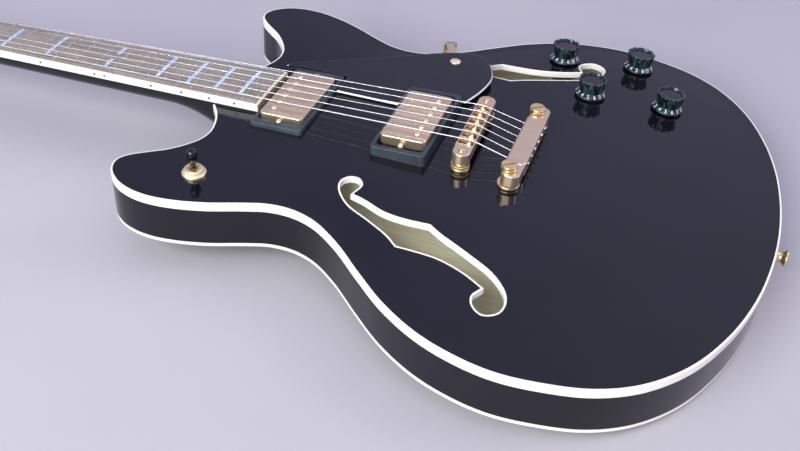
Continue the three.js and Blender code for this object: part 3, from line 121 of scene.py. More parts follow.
# Tuners
POST_FIRST = 44.0
POST_PITCH = 40.0
POST_OUT = 23.0
POST_RADIUS = 3.0
POST_HOLE = 3.3
POST_WAIST = 6.5
POST_TURNS = 3
POSTS_PER_SIDE = 3
TUNER_PLATE_THICKNESS = 1.2
TUNER_PLATE_MARGIN = (12.0, 10.0)
TUNER_SHELL_DEPTH = 8.0
TUNER_SHELL_HALF = (10.5, 8.5)
GEAR_RADIUS = 4.6
WORM_RADIUS = 2.1
KEY_REACH = 30.0
KEY_HALF = (9.5, 8.5, 3.2)

# Strings
STRING_COUNT = 6
HEAVIEST_STRING = 0.584
STRING_GAUGES = (1, 0.783, 0.565, 0.37, 0.283, 0.217)
WOUND_STRINGS = 3
THINNEST_SEEN = 0.27
SPREAD_AT_NUT = 35.5
SPREAD_AT_BRIDGE = 50.5
RISE_AT_BRIDGE = 4.9

# Bridge
BRIDGE_COMPENSATION = 2.9
BRIDGE_SLANT = math.radians(1.9)
BRIDGE_POST_SPREAD = 73.6
BRIDGE_END = 7.1
BRIDGE_HEIGHT = 9.4
BRIDGE_POST = 2.3
POST_PROUD = 1.1
WHEEL_RADIUS = 7.3
WHEEL_THICKNESS = 4.3
WHEEL_GROOVE = 0.8
COLLAR_RADIUS = 4.6
COLLAR_HEIGHT = 2.0
SADDLE_WIDTH = 5.6
SADDLE_LENGTH = 4.4
SADDLE_SLOT = 11.8
SADDLE_SLOT_DEPTH = 7.0
SADDLE_TRAVEL = 1.3
SADDLE_CREST = 0.8
CREST_SETBACK = 1.2
SADDLE_PLACES = (1, 0.7, 0.45, 0.6, 0.3, 0)
CREST_SETBACKS = (1, 1, 1, 0, 0, 0)

# Tailpiece
TAIL_FROM_BRIDGE = 39.75
TAIL_STUD_SPREAD = 83.0
TAIL_WIDTH = 16.2
TAIL_LENGTH = 68.0
TAIL_OFFSET = 2.7
TAIL_HEIGHT = 12.2
TAIL_DROP = 0.2
EAR_WIDTH = 14.7
EAR_REACH = 9.2
EAR_HEIGHT = 10.8
TAIL_STRING_HOLE = 1.7
TAIL_STRING_SHARE = 0.7
STUD_RADIUS = 3.6
STUD_LIFT = 0.9
STUD_HEAD_RADIUS = 6.2
STUD_HEAD_HEIGHT = 4.1
FLANGE_RADIUS = 8.8
FLANGE_HEIGHT = 2.2
FLANGE_OFFSET = 1.4
STUD_TURN = 38
BUSHING_RADIUS = 5.6

# Pickups
COVER_WIDTH = 38.0
COVER_LENGTH = 70.0
COVER_CORNER = 4.0
COVER_DEPTH = 9.0
RING_WIDTH = 46.0
RING_LENGTH = 90.0
RING_CORNER = 3.0
RING_GAP = 0.6
RING_EDGE = 0.9
RING_FOOT = -14.5
RING_SCREW_OUT = 2.6
RING_SCREW_SEAT = -4.0
BOBBIN_HALF = (7.7, 31.5)
EAR_SPAN = 84.0
EAR_BREADTH = 20.0
CAVITY_CLEARANCE = 1.5
NECK_PICKUP_FROM_BOARD = 23.5
BRIDGE_PICKUP_FROM_BRIDGE = 45.95
POLE_OFFSET = 9.5
POLE_PITCH = 10.1
POLE_RADIUS = 2.35
POLE_PROUD = 1.0

# Knobs and selector
KNOB_LIFT = 1.3
KNOB_HEIGHT = 15.3
SKIRT_RADIUS = 13.2
SKIRT_HEIGHT = 4.4
KNOB_BASE_RADIUS = 10.2
KNOB_TOP_RADIUS = 12.2
KNOB_SCALLOPS = 12
SCALLOP_LENGTH = 5.5
SCALLOP_DEPTH = 1.5
SHAFT_RADIUS = 3.0
SKIRT_EDGE = 1.3
KNOB_NUMBERS = 11
NUMBER_SIZE = 4.7
FIRST_NUMBER = -225
NUMBER_STEP = 27
DISC_RADIUS = KNOB_TOP_RADIUS - 3.1
SWITCH_PLACE = (0.1296, -0.5431)

# Pickguard, strap button and jack
GUARD_THICKNESS = 2.4
GUARD_HEIGHT = 11.6
GUARD_BEVEL = 0.74
GUARD_LENGTH = 172.8
GUARD_REACH = 78.0
GUARD_BEFORE_PICKUP = 33.8
GUARD_INNER_EDGE = 22.5
GUARD_TILT = 2.9
GUARD_PIVOT = 597.0
GUARD_GAP = 0.8
GUARD_CLEARS = (-4.4, -6.4)
GUARD_SCREW = (0.7806, 0.7526)
GUARD_SCREW_HEAD = 4.7
BRACKET_PLACE = (0.371, 0.649)
BRACKET_THICKNESS = 1.6
BRACKET_WIDTH = 12.0
BRACKET_DROP = 26.0
BRACKET_FOOT = 3.0
BRACKET_DIP = 2.4
BUTTON_HEIGHT = 19.0
JACK_PLACE = (0.6776, 1)

# Half of the body's outline from the neck joint to the tail. Each pair is a share of the
# body's length behind the horn tips and a share of half its width.
OUTLINE_SHARES = (
    (0.0614, 0.1296), (0.0798, 0.1852), (0.0911, 0.25), (0.0942, 0.2963), (0.0901, 0.3449),
    (0.0788, 0.3912), (0.0573, 0.4491), (0.0328, 0.4931), (0.0102, 0.537), (0.001, 0.5694),
    (0, 0.6019), (0.0082, 0.6435), (0.0307, 0.6875), (0.0573, 0.7106), (0.088, 0.7176),
    (0.1269, 0.706), (0.176, 0.6722), (0.2293, 0.6185), (0.262, 0.5894), (0.2886, 0.5801),
    (0.3132, 0.5833), (0.346, 0.6065), (0.391, 0.6713), (0.4442, 0.7731), (0.4974, 0.8681),
    (0.5589, 0.9444), (0.6203, 0.9861), (0.6776, 1), (0.739, 0.9838), (0.8025, 0.9444),
    (0.8598, 0.8681), (0.913, 0.7384), (0.9539, 0.5648), (0.9806, 0.3796), (0.9949, 0.1944),
    (1, 0),
)

# The f-hole's edge as four smooth runs, as shares of the hole's length and width
F_HOLE_RUNS = (
    ((0.103, 0.182), (0.167, 0.209), (0.288, 0.283), (0.403, 0.305), (0.526, 0.298)),
    ((0.526, 0.298), (0.59, 0.361), (0.745, 0.479), (0.899, 0.612), (0.982, 0.754), (1, 0.87),
     (0.98, 0.955), (0.918, 1), (0.859, 0.944), (0.84, 0.857), (0.868, 0.767)),
    ((0.868, 0.767), (0.763, 0.684), (0.635, 0.621), (0.515, 0.605), (0.421, 0.602)),
    ((0.421, 0.602), (0.356, 0.521), (0.235, 0.416), (0.094, 0.302), (0.012, 0.153),
     (0.006, 0.061), (0.044, 0.001), (0.092, 0.005), (0.123, 0.071), (0.103, 0.182)),
)

# The section of the f-hole's bound wall, as (distance into the hole, height over the top)
F_HOLE_WALL = (
    (0.05, -TOP_THICKNESS), (0.05, -0.1), (0.15, 0.06), (0.4, 0.1), (F_HOLE_STRIP - 0.3, 0.06),
    (F_HOLE_STRIP, -0.25), (F_HOLE_STRIP, -TOP_THICKNESS),
)

# The pickguard's outer edge, as shares of its length and of its reach beyond the rings
GUARD_EDGE = (
    (0.945, 0), (0.98, 0.23), (0.997, 0.41), (1, 0.56), (0.98, 0.72), (0.95, 0.85),
    (0.9, 0.965), (0.85, 1), (0.8, 0.99), (0.74, 0.945), (0.68, 0.885), (0.58, 0.76),
    (0.44, 0.57), (0.28, 0.37), (0.12, 0.18), (0.03, 0.07), (0, 0),
)

# Half of the headstock's outline, as shares of its length and of half its width
HEAD_SHARES = (
    (0, 0.56), (0.07, 0.62), (0.15, 0.83), (0.23, 0.95), (0.4, 0.99), (0.6, 1), (0.78, 0.99),
    (0.9, 0.93), (0.965, 0.74), (0.99, 0.42), (1, 0),
)

# Turned profiles, as (radius, height)
KNOB_RIM = ((0, 1.1), (0.2, 0.5), (0.7, 0.1), (1.2, 0), (1.8, 0.2), (2.7, 1.7))
SWITCH_WASHER = ((6, -0.5), (9.3, -0.5), (9.3, 1.6), (8.4, 2.6), (6, 2.6))
SWITCH_NUT = ((5.0, 2.2), (7.4, 2.2), (7.4, 4.6), (6.8, 5.1), (5.0, 5.1))
SWITCH_THROAT = ((5.4, -2), (5.4, 5.2), (3.9, 5.4), (3.4, 3.0), (2.6, 0))
LEVER_TIP = (
    (0, 5.5), (1.7, 5.5), (2.2, 9), (3.0, 12.5), (4.0, 16), (4.3, 18.6), (3.9, 20.9),
    (2.4, 22.5), (0, 22.9),
)
STRAP_BUTTON = (
    (0, -6), (2.1, -6), (2.1, 0.3), (5.0, 0.3), (5.0, 1.4), (3.8, 3.5), (3.8, 5.8), (5.2, 7.8),
    (6.6, 8.4), (6.6, 10.1), (4.2, 10.8), (0, 10.8),
)
JACK = (
    (3.3, -20), (4.8, -20), (4.8, 0.1), (9, 0.1), (9, 1.2), (8.2, 1.7), (6.4, 1.7), (6.4, 4.0),
    (5.6, 4.4), (3.5, 4.4), (3.3, 4.0), (3.3, -19.8),
)
TUNER_POST_HEAD = (
    (3, 5.0), (2.7, 6.5), (2.7, 8.0), (3.2, 10), (3.5, 11), (2.5, 12), (0, 12),
)
TUNER_COLLAR = ((3.2, 0), (6.2, 0), (6.2, 0.8), (4.4, 1.9), (3.2, 1.9))

# Where each knob stands, as shares of the body's length and of half its width
KNOB_PLACES = {
    "volume_knob_neck": (0.5773, 0.7731), "tone_knob_neck": (0.7093, 0.8495),
    "volume_knob_bridge": (0.6489, 0.5208), "tone_knob_bridge": (0.781, 0.5718),
}
SIDES = {"bass": -1, "treble": 1}

# Half the floor's width, in metres
FLOOR_SIZE = 5

# Each lamp's place, aim, width, height, share of the key lamp's power, and tint, in metres
LAMPS = {
    "key": ((-0.35, -1.9, 1.5), (0.15, -0.1, 0.05), 2.3, 1.2, 1.0, (0.94, 1.0, 1.0)),
    "fill": ((1.7, 0.6, 1.4), (0.1, 0, 0.05), 0.8, 0.8, 0.1, (1.0, 1.0, 1.0)),
    "front": ((0.1, -2.3, 0.9), (0.15, 0, 0.06), 2.2, 0.6, 0.3, (1.0, 0.98, 0.92)),
}
LAMP_SPREAD = math.radians(120)

# The camera's place, aim and upward line in the body's frame, and its roll
CAMERA_PLACE = Vector((781.5, -636.6, 473.9))
CAMERA_AIM = Vector((619.6, -133.3, 23.1))
CAMERA_UP = Vector((-0.0766, 0, 0.99706))
CAMERA_ROLL = -0.0155


def fret_at(number):
    """How far a fret is from the nut."""
    return SCALE_LENGTH * (1 - 2 ** (-number / 12))


BOARD_LENGTH = fret_at(FRET_COUNT) + BOARD_OVERHANG
HORN_TIP = BOARD_LENGTH - BOARD_OVER_BODY
BRIDGE_AT = SCALE_LENGTH + BRIDGE_COMPENSATION
TAIL_AT = BRIDGE_AT + TAIL_FROM_BRIDGE
NECK_PICKUP_AT = BOARD_LENGTH + NECK_PICKUP_FROM_BOARD
BRIDGE_PICKUP_AT = BRIDGE_AT - BRIDGE_PICKUP_FROM_BRIDGE
TAIL_END = HORN_TIP + BODY_LENGTH
# Along the neck, height of the cover, height of the ring, side of the poles, length of the
# ring and the gap it leaves at each end of the cover
PICKUPS = {
    "neck": (NECK_PICKUP_AT, -0.8, -4.4, -1, 91.0, 3.2),
    "bridge": (BRIDGE_PICKUP_AT, 1.2, -2.9, 1, 95.0, 8.0),
}

BODY = (Matrix.Translation(BODY_SHIFT) @ Matrix.Rotation(BODY_TILT, 4, "Y")
        @ Matrix.Scale(TO_METRES, 4))
NUT_HEIGHT = BOARD_END_HEIGHT - BOARD_LENGTH * math.sin(NECK_ANGLE)
IN_NECK = Matrix.Translation((0, 0, NUT_HEIGHT)) @ Matrix.Rotation(-NECK_ANGLE, 4, "Y")
IN_HEAD = (IN_NECK @ Matrix.Translation((-HEAD_START, 0, -BOARD_THICKNESS))
           @ Matrix.Rotation(-HEAD_ANGLE, 4, "Y"))


# ---------------------------------------------------------------- shape helpers

def smooth(points, divisions, closed=False):
    """A smooth line through points, with that many steps between each two of them."""
    points = [Vector(p) for p in points]
    count = len(points)

    def at(i):
        if closed:
            return points[i % count]
        if i < 0:
            return points[0] * 2 - points[1]
        return points[-1] * 2 - points[-2] if i >= count else points[i]

    line = []
    for i in range(count if closed else count - 1):
        p = [at(i + k) for k in (-1, 0, 1, 2)]
        t = [0.0]
        for k in range(3):
            t.append(t[-1] + max((p[k + 1] - p[k]).length, 1e-6) ** 0.5)
        for j in range(divisions):
            u = t[1] + (t[2] - t[1]) * j / divisions
            a = [p[k].lerp(p[k + 1], (u - t[k]) / (t[k + 1] - t[k])) for k in range(3)]
            b = [a[k].lerp(a[k + 1], (u - t[k]) / (t[k + 2] - t[k])) for k in range(2)]
            line.append(b[0].lerp(b[1], (u - t[1]) / (t[2] - t[1])))
    if not closed:
        line.append(points[-1].copy())
    return line


def inset(loop, distance):
    """Moves a closed flat loop inwards by a distance, keeping its corners."""
    count = len(loop)
    area = sum(loop[i - 1].x * loop[i].y - loop[i].x * loop[i - 1].y for i in range(count))
    sense = 1 if area > 0 else -1
    normals = []
    for i in range(count):
        edge = (loop[(i + 1) % count] - loop[i]).normalized()
        normals.append(Vector((-edge.y * sense, edge.x * sense)))
    result = []
    for i in range(count):
        total = normals[i - 1] + normals[i]
        result.append(loop[i] + total * (distance / max(1 + normals[i - 1].dot(normals[i]), 0.4)))
    return result


def rectangle(width, length, corner, steps=6):
    """A rectangle about the origin with rounded corners."""
    loop = []
    for sx, sy, start in ((1, 1, 0), (-1, 1, 90), (-1, -1, 180), (1, -1, 270)):
        for k in range(steps + 1):
            angle = math.radians(start + 90 * k / steps)
            loop.append(Vector((sx * (width / 2 - corner) + corner * math.cos(angle),
                                sy * (length / 2 - corner) + corner * math.sin(angle))))
    return loop


def filleted(profile, radius, steps=3):
    """Rounds the inner corners of an open profile."""
    points = [Vector(p) for p in profile]
    line = [points[0]]
    for a, b, c in zip(points, points[1:], points[2:]):
        back, ahead = a - b, c - b
        reach = min(radius, back.length * 0.45, ahead.length * 0.45)
        p, q = b + back.normalized() * reach, b + ahead.normalized() * reach
        for k in range(steps + 1):
            t = k / steps
            line.append(p * (1 - t) ** 2 + b * (2 * t * (1 - t)) + q * t ** 2)
    return line + [points[-1]]


def stack(rings, closed=False, caps=True):
    """A skin over rings of equal length. A closed one joins its last ring to its first."""
    count = len(rings[0])
    verts = [Vector(p) for ring in rings for p in ring]
    faces = []
    for r in range(len(rings) if closed else len(rings) - 1):
        a, b = r * count, ((r + 1) % len(rings)) * count
        for i in range(count):
            j = (i + 1) % count
            faces.append((a + i, a + j, b + j, b + i))
    if caps and not closed:
        faces.append(tuple(reversed(range(count))))
        faces.append(tuple(range((len(rings) - 1) * count, len(rings) * count)))
    return verts, faces


def at_height(loop, z):
    """Lifts a flat loop to a height, or onto a surface given as a function of the points."""
    heights = z(loop) if callable(z) else [z] * len(loop)
    return [Vector((p.x, p.y, h)) for p, h in zip(loop, heights)]


def slab(loop, bottom, top, edge=0.4, steps=3):
    """A plate of the loop's outline with rounded upper and lower edges."""
    rings = []
    for k in range(steps + 1):
        angle = math.pi / 2 * k / steps
        rings.append((edge * (1 - math.sin(angle)), bottom + edge * (1 - math.cos(angle))))
    for k in range(steps + 1):
        angle = math.pi / 2 * k / steps
        rings.append((edge * (1 - math.cos(angle)), top - edge * (1 - math.sin(angle))))
    return stack([at_height(inset(loop, d), z) for d, z in rings])


def block(x0, x1, y0, y1, z0, z1, corner=0.0, edge=0.0):
    """A bar along the axes, with rounded corners and edges where they are given."""
    loop = rectangle(x1 - x0, y1 - y0, corner, 4) if corner else [
        Vector((sx * (x1 - x0) / 2, sy * (y1 - y0) / 2)) for sx, sy in
        ((1, 1), (-1, 1), (-1, -1), (1, -1))]
    centre = Vector(((x0 + x1) / 2, (y0 + y1) / 2))
    loop = [p + centre for p in loop]
    if edge:
        return slab(loop, z0, z1, edge)
    return stack([at_height(loop, z0), at_height(loop, z1)])


def lathe(profile, steps=64, reach=None):
    """Turns a profile of (radius, height) about Z. reach changes a radius with the angle."""
    rings, verts, faces = [], [], []
    for radius, height in profile:
        if radius < 1e-6:
            rings.append([len(verts)])
            verts.append(Vector((0, 0, height)))
            continue
        rings.append(list(range(len(verts), len(verts) + steps)))
        for k in range(steps):
            angle = 2 * math.pi * k / steps
            out = reach(radius, height, angle) if reach else radius
            verts.append(Vector((out * math.cos(angle), out * math.sin(angle), height)))
    for low, high in zip(rings, rings[1:]):
        for k in range(steps):
            j = (k + 1) % steps
            corners = [low[k % len(low)], low[j % len(low)], high[j % len(high)],
                       high[k % len(high)]]
            face = list(dict.fromkeys(corners))
            if len(face) > 2:
                faces.append(tuple(face))
    return verts, faces


def rod(radius, bottom, top, steps=32):
    """A plain round bar along Z."""
    return lathe([(0, bottom), (radius, bottom), (radius, top), (0, top)], steps)


def tube(points, radius, sides=10):
    """A round bar that follows a line of points."""
    points = [Vector(p) for p in points]
    rings = []
    up = Vector((0, 0, 1))
    for i, p in enumerate(points):
        along = (points[min(i + 1, len(points) - 1)] - points[max(i - 1, 0)]).normalized()
        across = along.cross(up)
        across = (across if across.length > 1e-4 else along.cross(Vector((0, 1, 0)))).normalized()
        up = across.cross(along).normalized()
        rings.append([p + (across * math.cos(2 * math.pi * k / sides)
                           + up * math.sin(2 * math.pi * k / sides)) * radius
                      for k in range(sides)])
    return stack(rings)


def moved(shape, matrix):
    """A shape carried into another frame."""
    verts, faces = shape
    return [matrix @ v for v in verts], faces


def shift(x, y, z):
    """A frame moved by a distance."""
    return Matrix.Translation((x, y, z))


def turn(degrees, axis):
    """A frame turned about an axis."""
    return Matrix.Rotation(math.radians(degrees), 4, axis)


def mesh_of(name, shapes):
    """One mesh of several shapes. A shape may be paired with its material's number."""
    verts, faces, numbers = [], [], []
    for shape in shapes:
        (points, polygons), number = shape if isinstance(shape[1], int) else (shape, 0)
        base = len(verts)
        verts.extend(points)
        faces.extend(tuple(base + i for i in polygon) for polygon in polygons)
        numbers.extend(number[k] if isinstance(number, list) else number
                       for k in range(len(polygons)))
    mesh = bpy.data.meshes.new(name)
    mesh.from_pydata([tuple(v) for v in verts], [], faces)
    mesh.polygons.foreach_set("material_index", numbers)
    return mesh


def tidy_normals(mesh, sharp):
    """Turns the faces outwards, smooths them and keeps the edges sharper than an angle."""
    bm = bmesh.new()
    bm.from_mesh(mesh)
    bmesh.ops.remove_doubles(bm, verts=bm.verts, dist=1e-7)
    bmesh.ops.recalc_face_normals(bm, faces=bm.faces)
    for face in bm.faces:
        face.smooth = True
    limit = math.radians(sharp)
    for edge in bm.edges:
        edge.smooth = not (len(edge.link_faces) == 2 and edge.calc_face_angle() > limit)
    bm.to_mesh(mesh)
    bm.free()


def carve(obj, cutters):
    """Cuts shapes out of a piece."""
    mesh = mesh_of("cutter", cutters)
    mesh.transform(obj.matrix_world)
    tidy_normals(mesh, 30)
    cutter = bpy.data.objects.new("cutter", mesh)
    bpy.context.scene.collection.objects.link(cutter)
    cut = obj.modifiers.new("cut", "BOOLEAN")
    cut.operation = "DIFFERENCE"
    cut.solver = "EXACT"
    cut.object = cutter
    bpy.context.view_layer.update()
    seen = obj.evaluated_get(bpy.context.evaluated_depsgraph_get())
    result = bpy.data.meshes.new_from_object(seen)
    obj.modifiers.clear()
    obj.data = result
    bpy.data.objects.remove(cutter)


def piece(name, shapes, finishes, slot=None, body="body", place=None, replaces=(), cuts=None,
          sharp=40, weighted=True):
    """Makes one named piece from shapes in millimetres and ties it to its CAD body."""
    finishes = [finishes] if isinstance(finishes, str) else finishes
    matrix = BODY @ place if place is not None else BODY
    mesh = mesh_of(name, shapes)
    mesh.transform(matrix)
    tidy_normals(mesh, sharp)
    obj = bpy.data.objects.new(name, mesh)
    for finish in finishes:
        mesh.materials.append(FINISHES[finish])
    bpy.context.scene.collection.objects.link(obj)
    if cuts:
        carve(obj, [moved(cut, matrix) for cut in cuts])
        tidy_normals(obj.data, sharp)
    if weighted:
        even = obj.modifiers.new("even shading", "WEIGHTED_NORMAL")
        even.mode = "FACE_AREA"
        even.keep_sharp = True
    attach(obj, body)
    if replaces:
        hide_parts(*replaces)
    return obj


# ---------------------------------------------------------------- outline and arch

def on_body(shares):
    """The place on the body that a pair of shares stands for."""
    return Vector((HORN_TIP + BODY_LENGTH * shares[0], BODY_WIDTH / 2 * shares[1]))


def body_outline():
    """The body's closed outline, treble side first."""
    half = [on_body(pair) for pair in OUTLINE_SHARES]
    return smooth(half + [Vector((p.x, -p.y)) for p in reversed(half[:-1])],
                  OUTLINE_DIVISIONS)


def inside(loop, x, y):
    """Which points of an array are inside a loop."""
    result = np.zeros(np.shape(x), bool)
    for i, p in enumerate(loop):
        q = loop[i - 1]
        if p.y == q.y:
            continue
        crosses = (p.y > y) != (q.y > y)
        result ^= crosses & (x < (q.x - p.x) * (y - p.y) / (q.y - p.y) + p.x)
    return result


class Arch:
    """The plates' arch: a skin blown up from a flat margin, smoothed where it leaves it."""

    def __init__(self, outline):
        loop = inset(outline, FLAT_MARGIN)
        columns = math.ceil(BODY_LENGTH / ARCH_CELL) + 9
        rows = 2 * math.ceil(BODY_WIDTH / 2 / ARCH_CELL) + 9
        self.start = Vector((HORN_TIP - 4 * ARCH_CELL, -(rows - 1) / 2 * ARCH_CELL))
        x = self.start.x + ARCH_CELL * np.arange(columns)[:, None] + np.zeros((1, rows))
        y = self.start.y + ARCH_CELL * np.arange(rows)[None, :] + np.zeros((columns, 1))
        free = inside(loop, x, y)
        checker = (np.add.outer(np.arange(columns), np.arange(rows)) % 2).astype(bool)
        lift = np.zeros((columns, rows))
        for _ in range(ARCH_ROUNDS):
            for colour in (checker, ~checker):
                mean = np.zeros_like(lift)
                mean[1:-1, 1:-1] = (lift[:-2, 1:-1] + lift[2:, 1:-1]
                                    + lift[1:-1, :-2] + lift[1:-1, 2:]) / 4
                step = ARCH_RELAXATION * (mean + 1 - lift)
                lift = lift + np.where(free & colour, step, 0)
        self.field = lift / lift.max()

    def share(self, x, y):
        """The arch's height as a share of its crown, on a smooth surface."""
        column = (np.asarray(x, float) - self.start.x) / ARCH_CELL
        row = (np.asarray(y, float) - self.start.y) / ARCH_CELL
        c, r = np.floor(column).astype(int), np.floor(row).astype(int)

        def weights(t):
            return ((1 - t) ** 3 / 6, (3 * t ** 3 - 6 * t ** 2 + 4) / 6,
                    (-3 * t ** 3 + 3 * t ** 2 + 3 * t + 1) / 6, t ** 3 / 6)

        across, along = weights(column - c), weights(row - r)
        total = np.zeros(np.shape(column))
        for i in range(4):
            for j in range(4):
                ci = np.clip(c + i - 1, 0, self.field.shape[0] - 1)
                rj = np.clip(r + j - 1, 0, self.field.shape[1] - 1)
                total += across[i] * along[j] * self.field[ci, rj]
        return total


OUTLINE = body_outline()
ARCH = Arch(OUTLINE)
BODY_FRONT = OUTLINE[0].x


def top_at(x, y):
    """The height of the top at a place."""
    return float(TOP_CROWN * ARCH.share(x, y))


def top_surface(lift=0.0):
    """The top's surface, as a function for at_height."""
    return lambda loop: TOP_CROWN * ARCH.share([p.x for p in loop],
                                               [p.y for p in loop]) + lift


def back_surface(lift=0.0):
    """The back's surface, as a function for at_height."""
    return lambda loop: -SIDE_DEPTH + lift - BACK_CROWN * ARCH.share(
        [p.x for p in loop], [p.y for p in loop])


def seat_on_top(place):
    """A frame on the top at a place, with Z along the surface's normal."""
    step = ARCH_CELL
    slope_x = (top_at(place.x + step, place.y) - top_at(place.x - step, place.y)) / (2 * step)
    slope_y = (top_at(place.x, place.y + step) - top_at(place.x, place.y - step)) / (2 * step)
    normal = Vector((-slope_x, -slope_y, 1)).normalized()
    spin = Vector((0, 0, 1)).rotation_difference(normal).to_matrix().to_4x4()
    return shift(place.x, place.y, top_at(place.x, place.y)) @ spin


def arched_plate(loop, holes, outer, inner):
    """A plate between two surfaces, with holes. Returns its shape and material numbers."""
    loops = [loop] + holes
    points = [p for each in loops for p in each]
    edges, base = [], 0
    for each in loops:
        edges += [(base + i, base + (i + 1) % len(each)) for i in range(len(each))]
        base += len(each)
    xs = [p.x for p in loop]
    ys = [p.y for p in loop]
    grid = []
    row_step = SURFACE_CELL * math.sqrt(3) / 2
    for r in range(int((max(ys) - min(ys)) / row_step) + 1):
        y = min(ys) + r * row_step
        x = min(xs) + (SURFACE_CELL / 2 if r % 2 else 0)
        while x < max(xs):
            grid.append((x, y))
            x += SURFACE_CELL
    grid = np.array(grid)
    rim_points = np.array([(p.x, p.y) for p in points])
    keep = inside(loop, grid[:, 0], grid[:, 1])
    for hole in holes:
        keep &= ~inside(hole, grid[:, 0], grid[:, 1])
    grid = grid[keep]
    near = np.array([np.min(np.hypot(*(rim_points - g).T)) for g in grid])
    grid = grid[near > SURFACE_CELL * 0.5]
    flat = points + [Vector(g) for g in grid]
    verts, _, triangles, *_ = delaunay_2d_cdt([Vector((p.x, p.y)) for p in flat], edges, [],
                                              0, 1e-6)
    centres = np.array([[sum(verts[i].x for i in t) / 3, sum(verts[i].y for i in t) / 3]
                        for t in triangles])
    solid = inside(loop, centres[:, 0], centres[:, 1])
    for hole in holes:
        solid &= ~inside(hole, centres[:, 0], centres[:, 1])
    triangles = [t for t, good in zip(triangles, solid) if good]
    upper, lower = at_height(verts, outer), at_height(verts, inner)
    faces = [tuple(t) for t in triangles]
    numbers = [0] * len(faces)
    count = len(verts)
    faces += [tuple(count + i for i in reversed(t)) for t in triangles]
    numbers += [1] * len(triangles)
    sides = {}
    for t in triangles:
        for a, b in zip(t, t[1:] + t[:1]):
            sides[frozenset((a, b))] = None if frozenset((a, b)) in sides else (a, b)
    for side in sides.values():
        if side:
            a, b = side
            faces.append((b, a, count + a, count + b))
            numbers.append(1)
    return (upper + lower, faces), numbers


def f_hole_loop(side):
    """The edge of one f-hole."""
    start = on_body(F_HOLE_PLACE)
    inner = start.y - F_HOLE_WIDTH / 2
    loop = []
    for run in F_HOLE_RUNS:
        corners = [(start.x + F_HOLE_LENGTH * a, side * (inner + F_HOLE_WIDTH * b))
                   for a, b in run]
        loop += smooth(corners, 6)[:-1]
    return loop


def pickup_hole(at):
    """The outline of a pickup's cavity, with the room for its ears."""
    centre = IN_NECK @ Vector((at, 0, 0))
    clear = CAVITY_CLEARANCE
    w, l = COVER_WIDTH / 2 + clear, COVER_LENGTH / 2 + clear
    v, k = EAR_BREADTH / 2 + clear, EAR_SPAN / 2 + clear
    corners = ((w, l), (v, l), (v, k), (-v, k), (-v, l), (-w, l),
               (-w, -l), (-v, -l), (-v, -k), (v, -k), (v, -l), (w, -l))
    return [Vector((centre.x + x, y)) for x, y in corners]


def board_half(x):
    """Half the board's width at a distance from the nut."""
    return (BOARD_NUT_WIDTH + (BOARD_END_WIDTH - BOARD_NUT_WIDTH) * x / BOARD_LENGTH) / 2


def crown(y, edge):
    """How far the board's round top stands over its edge."""
    return math.sqrt(BOARD_RADIUS ** 2 - y ** 2) - math.sqrt(BOARD_RADIUS ** 2 - edge ** 2)


def string_out(index, spread):
    """How far to the side a string is, for a spread of all six."""
    return spread * (index / (STRING_COUNT - 1) - 0.5)


def crest_height(index):
    """The height of a saddle's crest over the plane of the top's edge."""
    y = string_out(index, SPREAD_AT_BRIDGE)
    rise = RISE_AT_BRIDGE + crown(y, SPREAD_AT_BRIDGE / 2)
    return (IN_NECK @ Vector((BRIDGE_AT, 0, rise))).z


def seen_radius(index):
    """The radius a string is drawn with."""
    return max(HEAVIEST_STRING * STRING_GAUGES[index], THINNEST_SEEN)


def crest_at(index):
    """Where a saddle stands in its slot, and where its crest is on it."""
    play = SADDLE_SLOT / 2 - SADDLE_LENGTH / 2 - SADDLE_TRAVEL - SEAT
    return play * SADDLE_PLACES[index], CREST_SETBACK * CREST_SETBACKS[index]


AT_BRIDGE = shift(BRIDGE_AT, 0, 0) @ Matrix.Rotation(BRIDGE_SLANT, 4, "Z")
POSTS = [AT_BRIDGE @ Vector((0, side * BRIDGE_POST_SPREAD / 2, 0)) for side in SIDES.values()]
STUDS = [Vector((TAIL_AT, side * TAIL_STUD_SPREAD / 2, 0)) for side in SIDES.values()]
POST_TOP = max(top_at(p.x, p.y) for p in POSTS) + SEAT
BRIDGE_BOTTOM = POST_TOP + WHEEL_THICKNESS + COLLAR_HEIGHT + SEAT
BRIDGE_TOP = BRIDGE_BOTTOM + BRIDGE_HEIGHT
STUD_TOP = max(top_at(p.x, p.y) for p in STUDS) + SEAT
EAR_BOTTOM = STUD_TOP + FLANGE_HEIGHT + STUD_LIFT
EAR_TOP = EAR_BOTTOM + EAR_HEIGHT
TAIL_BOTTOM = EAR_BOTTOM - TAIL_DROP
TAIL_TOP = TAIL_BOTTOM + TAIL_HEIGHT
TAIL_STRING_AT = TAIL_BOTTOM + TAIL_HEIGHT * TAIL_STRING_SHARE


# ---------------------------------------------------------------- materials

def rgb(code):
    """An sRGB hex colour as linear values."""
    values = [int(code[i:i + 2], 16) / 255 for i in (0, 2, 4)]
    return tuple(v / 12.92 if v <= 0.04045 else ((v + 0.055) / 1.055) ** 2.4 for v in values)


def add(tree, kind, inputs=(), stops=(), **settings):
    """Adds one node. An input takes a value, or a socket to link from, and stops are the
    places and colours of a ramp."""
    node = tree.nodes.new(kind)
    for key, value in settings.items():
        setattr(node, key, value)
    for key, value in dict(inputs).items():
        if isinstance(value, bpy.types.NodeSocket):
            tree.links.new(value, node.inputs[key])
        else:
            node.inputs[key].default_value = value
    for number, (position, colour) in enumerate(stops):
        stop = node.color_ramp.elements[number]
        stop.position, stop.color = position, (*colour, 1)
    return node


def tone(looks, colour):
    """A hex colour as linear values. In a pair with a share it is made darker or lighter,
    and may be the name of one of the looks instead."""
    source, share = (colour, 1) if isinstance(colour, str) else colour
    values = tuple(getattr(looks, source)) if hasattr(looks, source) else rgb(source)
    return tuple(min(v * share, 1.0) for v in values)


